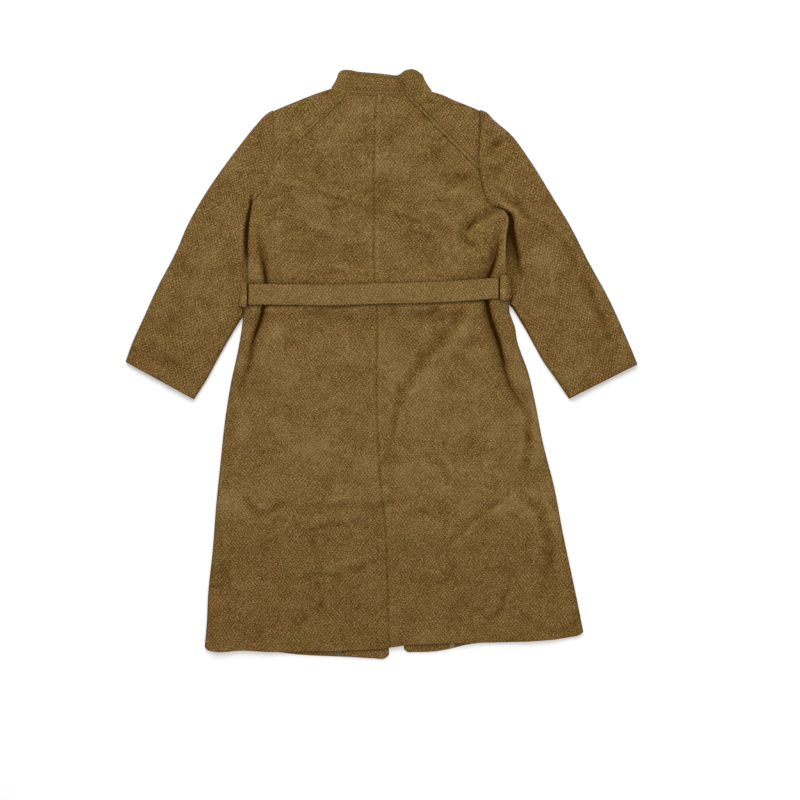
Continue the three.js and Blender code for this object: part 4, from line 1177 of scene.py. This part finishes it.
def make_sleeve(side):
    """A sleeve, sewn into a tube and lying flat. Its rows of points run straight across the arm, from
    the outer fold to the armhole or the inner fold, and back underneath."""
    size = sizes()
    thick = size["cloth"]
    down = graded(SLEEVE_LENGTH, size["mesh_step"], start=1.5, end=0.8)
    upper = graded(SLEEVE_WIDTH, size["mesh_step"] * 0.85, start=0.5, end=0.5)
    lower = graded(SLEEVE_WIDTH, 12, start=1.2, end=1.2)[1:-1][::-1]
    first, last, sewn = sleeve_edges(side, down)
    x, y, z, shade = sleeve_surface(side, down, upper, first, last, sewn)
    width = np.linalg.norm(first - last, axis=1)[:, None]
    low_x, low_y = patch(first, last, lower)
    low_z = 0.8 * FOLD_HEIGHT * (1 - rounded(np.minimum(lower, 1 - lower)[None] * width, 4))
    over = np.concatenate([stack(x, y, z), stack(low_x, low_y, low_z)], axis=1)
    inset = np.minimum(thick / width, 0.4)
    rows = []
    for shares, heights in (
        (upper, np.maximum(z - thick, np.minimum(thick + 0.5, z - 0.4))),
        (lower, np.maximum(low_z + 0.3, np.minimum(thick, low_z + thick))),
    ):
        place = (inset + (1 - 2 * inset) * shares[None])[..., None]
        flat = first[:, None] * (1 - place) + last[:, None] * place
        rows.append(stack(flat[..., 0], flat[..., 1], heights))
    under = np.concatenate(rows, axis=1)
    # The grain runs down the arm.
    grain = math.radians(GRAIN_TURN[side])
    flat_x, flat_y = over[..., 0].copy(), over[..., 1]
    flat_x[:, len(upper) :] *= -1
    along_x = flat_x * math.cos(grain) + flat_y * math.sin(grain)
    along_y = flat_y * math.cos(grain) - flat_x * math.sin(grain)
    shade = np.concatenate([shade, np.zeros_like(low_x)], axis=1)
    piece = shell(f"sleeve_{side}_tweed", over, under, shade, stack(along_x, along_y), ring=True)
    settle(piece, f"sleeve_{side}")


def back_height(x, y):
    """Height of the back's upper side, on both sides of the centre seam."""
    return np.where(x < centre_x(y), back_surface("left", x, y)[0], back_surface("right", x, y)[0])


def collar_middle(rows, across):
    """The middle of the collar's wall, and how deep its two soft folds sink it."""
    seam_x, seam_y, height = rows[:, 0], rows[:, 1], rows[:, 4]
    share = across[None, :, None]
    middle = rows[:, None, [0, 1, 4]] * (1 - share) + rows[:, None, [2, 3, 4]] * share
    # At both folds the collar curves in above its seam.
    bow = 4 * across * (1 - across) * smooth(height, 1.6, 4)[:, None]
    middle[..., 0] += bow * (3 * bell(seam_x + 97, 14) - 5 * bell(seam_x - 94, 14))[:, None]
    # The seam edge of the upper half comes down onto the back.
    back = back_height(seam_x, seam_y)
    down = (1 - smooth(across, 0, 0.7))[None] * smooth(height, 4, 7)[:, None]
    middle[..., 2] += down * (np.minimum(back + 0.4, height)[:, None] - middle[..., 2])
    # Soft folds where the band turns: one deep, by the right fold, and one shallow, by the left.
    dent = 2.9 * bell(middle[..., 0] - 28 + 0.6 * (middle[..., 1] - 576), 8)
    dent = dent + 0.9 * bell(middle[..., 0] + 62 - 0.3 * (middle[..., 1] - 560), 7)
    dent = dent * smooth(across, 0.1, 0.5)[None] * smooth(height, 6, 7)[:, None]
    middle[..., 2] -= dent
    return middle, dent


def make_collar():
    """The band collar, folded in half round the neck, with rows of channel stitching."""
    size = sizes()
    rows = soft_rows(np.stack(list(COLLAR.values()), axis=1), 10)
    seam_x, height = rows[:, 0], rows[:, 4]
    across = graded(COLLAR_WIDTH, 0.8, start=0.5, end=0.5)
    middle, dent = collar_middle(rows, across)
    from_edge = np.minimum(across, 1 - across) * COLLAR_WIDTH
    half = size["collar"] / 2 * rounded(from_edge, np.where(across < 0.5, 14, 2.5))
    # Each row of stitches draws in the upper half between its folds.
    channels = sum(bell((across - row) * COLLAR_WIDTH, 1.2) for row in COLLAR_ROWS)[None]
    channels = channels * smooth(height, 5.5, 7)[:, None] * (1 - smooth(np.abs(seam_x), 76, 88))[:, None]
    half = np.maximum(half[None] - 0.5 * channels + 0.1, THIN_WALL)[..., None]
    # Painted shade in the soft folds, along the upper edge and in the rows of stitching, and painted light
    # along the seam edge.
    shade = 0.11 * dent + 0.15 * bell((1 - across) * COLLAR_WIDTH, 2)[None] + 0.36 * channels
    shade = shade - 0.1 * bell(across * COLLAR_WIDTH, 4)[None] - 0.01
    normal = normals_of(middle)
    outside = middle - normal * half
    cloth_map = stack(run_of(middle[:, 0])[:, None], across[None] * COLLAR_WIDTH)
    piece = shell("collar_tweed", middle + normal * half, outside, shade, cloth_map)
    shown = (height > 6.8) & (seam_x > -84) & (seam_x < 84)
    lines = [outside[shown][:, np.argmin(np.abs(across - row))] + (0, 0, 0.1) for row in COLLAR_ROWS]
    stitches = make_stitches("collar_channel_stitching", lines)
    settle(piece, "collar")


def belt_height(x):
    """Height of the belt's middle over the back: it bridges the hollows of the cloth."""
    places, offsets = np.arange(-262.0, 246.0, 4.0), np.linspace(-20, 20, 9)
    grid_x, grid_y = np.meshgrid(places, offsets, indexing="ij")
    grid_y = grid_y + belt_y(grid_x)
    cloth = back_height(grid_x, grid_y).max(axis=1)
    # The highest cloth within 28 mm either way, and then the mean of that.
    window = 7
    for level in (np.max, np.mean):
        padded = np.pad(cloth, window, mode="edge")
        cloth = np.array([level(padded[i : i + 2 * window + 1]) for i in range(len(cloth))])
    return np.interp(x, places, cloth) + SEAM_GAP + sizes()["belt"] / 2


def belt_radius(side):
    """Radius of the belt's turn round the coat's side, in the middle of its cloth."""
    return (float(belt_height(np.array([BELT_TURN[side]]))[0]) - sizes()["belt"] / 2) / 2


def belt_path():
    """The middle of the belt from its left tip, under the coat, over the back and under again."""
    size = sizes()
    low = size["belt"] / 2
    points = [(x, low) for x in np.arange(BELT_TIPS["left"], BELT_TURN["left"], -8.0)]
    for side, order in (("left", 1), ("right", -1)):
        radius = belt_radius(side)
        for angle in np.radians(np.linspace(-90, 90, 13))[::order]:
            out = OUTWARD[side] * radius * math.cos(angle)
            points.append((BELT_TURN[side] + out, low + radius + radius * math.sin(angle)))
        if side == "left":
            run = np.arange(BELT_TURN["left"] + 1.5, BELT_TURN["right"] - 1, 1.5)
            points += zip(run, belt_height(run))
    # The right end climbs onto the left one.
    onto = low + size["belt"] + SEAM_GAP
    for x in np.arange(BELT_TURN["right"] - 8, BELT_TIPS["right"] - 1, -8.0):
        points.append((x, low + (onto - low) * float(smooth(-x, -110, -84))))
    return np.array(points)


def make_belt():
    """The belt: coating folded on itself and pressed, with rounded long edges."""
    size = sizes()
    path = belt_path()
    half_width, half = size["belt_width"] / 2, size["belt"] / 2
    across = (graded(size["belt_width"], 3, start=0.35, end=0.35) * 2 - 1) * half_width
    x = path[:, :1]
    middle = stack(x, belt_y(x) + across[None], path[:, 1:])
    normal = normals_of(middle)
    half_there = np.maximum(half * rounded(half_width - np.abs(across), half), 0.1)[None, :, None]
    run = run_of(path)
    upper = path[:, 1:] > 8
    # Painted shade where the belt runs under each loop and along its rounded edges, a dark line near its
    # lower edge, and the whole belt a little lighter.
    shade = sum(1.2 * bell(x + OUTWARD[side] * 1.2 - edge, 2) for side, edge in LOOPS.items()) * upper
    shade = shade + 0.2 * bell(half_width - np.abs(across)[None], 1.6)
    shade = shade + 0.1 * bell(across[None] + 14.5, 0.9) - 0.07
    over, under = middle + normal * half_there, middle - normal * half_there
    piece = shell("belt_tweed", over, under, shade, stack(run[:, None], across[None]))
    settle(piece, "belt")


def make_loop(side):
    """A belt loop: it lies over the belt, and its ends come down to the coat above and below it."""
    size = sizes()
    edge, low, radius = LOOPS[side], size["belt"] / 2, belt_radius(side)
    flat = abs(BELT_TURN[side] - edge)
    # Across the loop it is flat, and then goes down round the side with the belt.
    across = np.linspace(0, flat + radius * 1.9, 26)
    level, angle = np.minimum(across, flat)[None], np.clip((across - flat) / radius, 0, None)[None]
    ends = ((-26, -21, 9), (-19, 19, 14), (21, LOOP_TOP[side], 9))
    up = np.concatenate([np.linspace(*run) for run in ends])[:, None]
    over = 1 - smooth(np.abs(up), 21.3, 24.6)
    lift = (low + SEAM_GAP + size["loop"] / 2) * over - 0.4 * (1 - over)
    # The lower half may stand out from the belt at the side.
    out = lift + LOOP_STANDS_OUT[side] * (1 - smooth(up, -16, 16)) * over
    x = edge + OUTWARD[side] * (level + (radius + out) * np.sin(angle))
    top = belt_height(edge + OUTWARD[side] * level)
    z = top + lift - (radius + lift) * (1 - np.cos(angle))
    middle = stack(x, up + belt_y(x), z)
    normal = normals_of(middle)
    rim = np.minimum(across, across[-1] - across)
    half = np.maximum(size["loop"] / 2 * rounded(rim, 1.2), 0.15)[None, :, None]
    bent = smooth(across, flat - 4, flat + radius * 0.7)[None]
    # Painted shade where the loop bends down the side, along its edge and at the belt's edges; the rest a
    # little lighter.
    shade = LOOP_SHADE[side] * bent + 0.25 * bell(across, 1)[None]
    shade = shade + 0.1 * bell(np.abs(up) - BELT_EDGE, 3) - 0.1
    widths = np.linalg.norm(np.diff(middle, axis=1), axis=2)
    cloth_map = stack(np.pad(np.cumsum(widths, axis=1), ((0, 0), (1, 0))), up)
    over_side, under_side = middle + normal * half, middle - normal * half
    piece = shell(f"belt_loop_{side}_tweed", over_side, under_side, shade, cloth_map)
    widths = widths.sum(axis=1)
    lengths = np.linalg.norm(np.diff(middle, axis=0), axis=2).sum(axis=0)
    settle(piece, f"belt_loop_{side}")


def make_inside(side, kind, reach, thick, material):
    """A facing or the lining, where it shows between the hems."""
    start, end = reach
    width = abs(end - start)
    across = graded(width, 2.0, start=0.5, end=0.5)
    up = graded(80, 3, start=0.5)[:, None]
    hem = soft_line(FRONT_HEM[side])
    order = np.argsort(hem[:, 0])
    x = start + (end - start) * across[None] + 0 * up
    low_y = np.interp(x, hem[order, 0], hem[order, 1]) + 2
    y = low_y + (INSIDE_TOP - low_y) * up
    edge = np.minimum(np.minimum(np.abs(x - start), np.abs(end - x)), y - low_y)
    base = sizes()["cloth"] + SEAM_GAP
    over = stack(x, y, base + thick * (0.35 + 0.65 * rounded(edge, 1.3)))
    # The left lining gets painted shade all over, and both get the painted shadow of the back's hem.
    shade = (0.5 if side == "left" and kind == "lining" else 0) + shade_under_hem(x, y)
    piece = shell(f"{kind}_{side}_cloth", over, stack(x, y, base), shade)
    settle(piece, f"{kind}_{side}", material=material)


# -------------------------------------------------------------------------------------------- stage

# In metres and watts.
FLOOR_REACH = 9.0
FLOOR_DROP = 0.0004
SKY_POWER = 0.56
LIGHTS = (("key", (-0.5, 2.5, 2.0), 2.4, 90), ("fill", (0.7, -1.8, 2.6), 2.2, 29))  # place, side, power
VIEW_WIDTH = 1.6
CAMERA_SHIFT = (0.037, -0.0716, 0.006)  # from straight over the coat's middle


def make_floor(low):
    """The floor, of matt white laminate: even, with no shine. It lies just under the height low, in m."""
    mesh = bpy.data.meshes.new("floor")
    corners = ((-1, -1), (1, -1), (1, 1), (-1, 1))
    points = [(x * FLOOR_REACH, y * FLOOR_REACH, low - FLOOR_DROP) for x, y in corners]
    mesh.from_pydata(points, [], [(0, 1, 2, 3)])
    floor = bpy.data.objects.new("floor", mesh)
    bpy.context.scene.collection.objects.link(floor)
    material, tree = new_material("laminate_matt_white")
    colour = bpy.context.scene.coat_colours.floor
    shader = add_node(
        tree, "BsdfPrincipled", {"Base Color": colour, "Roughness": 0.9, "Specular IOR Level": 0.1}
    )
    add_node(tree, "OutputMaterial", {0: shader})
    mesh.materials.append(material)


def make_stage():
    """A pale floor, soft studio light from above the collar, and the camera straight over the coat."""
    scene = bpy.context.scene
    low, high = (np.array(corner) for corner in CAD_BOX)
    middle = (low + high) / 2
    make_floor(low[2])

    world = bpy.data.worlds.new("studio")
    world.use_nodes = True
    sky = world.node_tree.nodes["Background"].inputs
    sky[0].default_value, sky[1].default_value = (1, 1, 1, 1), SKY_POWER
    scene.world = world
    for name, place, side, power in LIGHTS:
        light = bpy.data.lights.new(name, "AREA")
        light.size, light.energy = side, power
        lamp = bpy.data.objects.new(name, light)
        lamp.location = place
        aim = np.array([middle[0], middle[1], 0]) - np.array(place)
        lamp.rotation_euler = Vector(aim).to_track_quat("-Z", "Y").to_euler()
        scene.collection.objects.link(lamp)

    camera = bpy.data.objects.new("camera", bpy.data.cameras.new("camera"))
    camera.data.lens, camera.data.sensor_width = 50, 36
    camera.data.clip_end = 50
    height = VIEW_WIDTH * camera.data.lens / camera.data.sensor_width
    aside, along_y, up = CAMERA_SHIFT
    camera.location = (middle[0] + aside, middle[1] + along_y, height + up)
    scene.collection.objects.link(camera)
    scene.camera = camera
    scene.view_settings.view_transform = "Standard"


# ----------------------------------------------------------------------------------------- operators


class COAT_OT_fronts(bpy.types.Operator):
    """Make the two fronts, face down"""

    bl_idname = "coat.fronts"
    bl_label = "Fronts"

    def execute(self, context):
        for side in SIDES:
            make_front(side)
        return {"FINISHED"}


class COAT_OT_inside(bpy.types.Operator):
    """Make the facings and the lining where they show at the hem"""

    bl_idname = "coat.inside"
    bl_label = "Facings and lining"

    def execute(self, context):
        size = sizes()
        for side in SIDES:
            make_inside(side, "facing", FACINGS[side], size["cloth"] - 0.2, wool_tweed())
            make_inside(side, "lining", LININGS[side], size["lining"], lining_twill())
        return {"FINISHED"}


class COAT_OT_backs(bpy.types.Operator):
    """Make the two back panels"""

    bl_idname = "coat.backs"
    bl_label = "Back panels"

    def execute(self, context):
        for side in SIDES:
            make_back(side)
        return {"FINISHED"}


class COAT_OT_yokes(bpy.types.Operator):
    """Make the two back yokes"""

    bl_idname = "coat.yokes"
    bl_label = "Yokes"

    def execute(self, context):
        for side in SIDES:
            make_yoke(side)
        return {"FINISHED"}


class COAT_OT_sleeves(bpy.types.Operator):
    """Make the two sleeves"""

    bl_idname = "coat.sleeves"
    bl_label = "Sleeves"

    def execute(self, context):
        for side in SIDES:
            make_sleeve(side)
        return {"FINISHED"}


class COAT_OT_collar(bpy.types.Operator):
    """Make the collar"""

    bl_idname = "coat.collar"
    bl_label = "Collar"

    def execute(self, context):
        make_collar()
        return {"FINISHED"}


class COAT_OT_belt(bpy.types.Operator):
    """Make the belt and its two loops"""

    bl_idname = "coat.belt"
    bl_label = "Belt and loops"

    def execute(self, context):
        make_belt()
        for side in SIDES:
            make_loop(side)
        return {"FINISHED"}


class COAT_OT_stage(bpy.types.Operator):
    """Set the floor, the light and the camera"""

    bl_idname = "coat.stage"
    bl_label = "Stage"

    def execute(self, context):
        make_stage()
        return {"FINISHED"}


STEPS = (
    COAT_OT_stage, COAT_OT_fronts, COAT_OT_inside, COAT_OT_backs, COAT_OT_yokes, COAT_OT_sleeves,
    COAT_OT_collar, COAT_OT_belt,
)


class COAT_PT_pieces(bpy.types.Panel):
    """The coat's pieces, its sizes and its colours"""

    bl_label = "Coat"
    bl_idname = "COAT_PT_pieces"
    bl_space_type = "VIEW_3D"
    bl_region_type = "UI"
    bl_category = "Coat"

    def draw(self, context):
        for group in (context.scene.coat_sizes, context.scene.coat_colours):
            for name in group.__annotations__:
                self.layout.prop(group, name)
        for step in STEPS:
            self.layout.operator(step.bl_idname)


CLASSES = (CoatSizes, CoatColours, *STEPS, COAT_PT_pieces)


def register():
    for item in CLASSES:
        bpy.utils.register_class(item)
    bpy.types.Scene.coat_sizes = bpy.props.PointerProperty(type=CoatSizes)
    bpy.types.Scene.coat_colours = bpy.props.PointerProperty(type=CoatColours)


def unregister():
    del bpy.types.Scene.coat_colours
    del bpy.types.Scene.coat_sizes
    for item in reversed(CLASSES):
        bpy.utils.unregister_class(item)


def main():
    register()
    for step in STEPS:
        group, name = step.bl_idname.split(".")
        getattr(getattr(bpy.ops, group), name)()


if __name__ == "__main__":
    main()
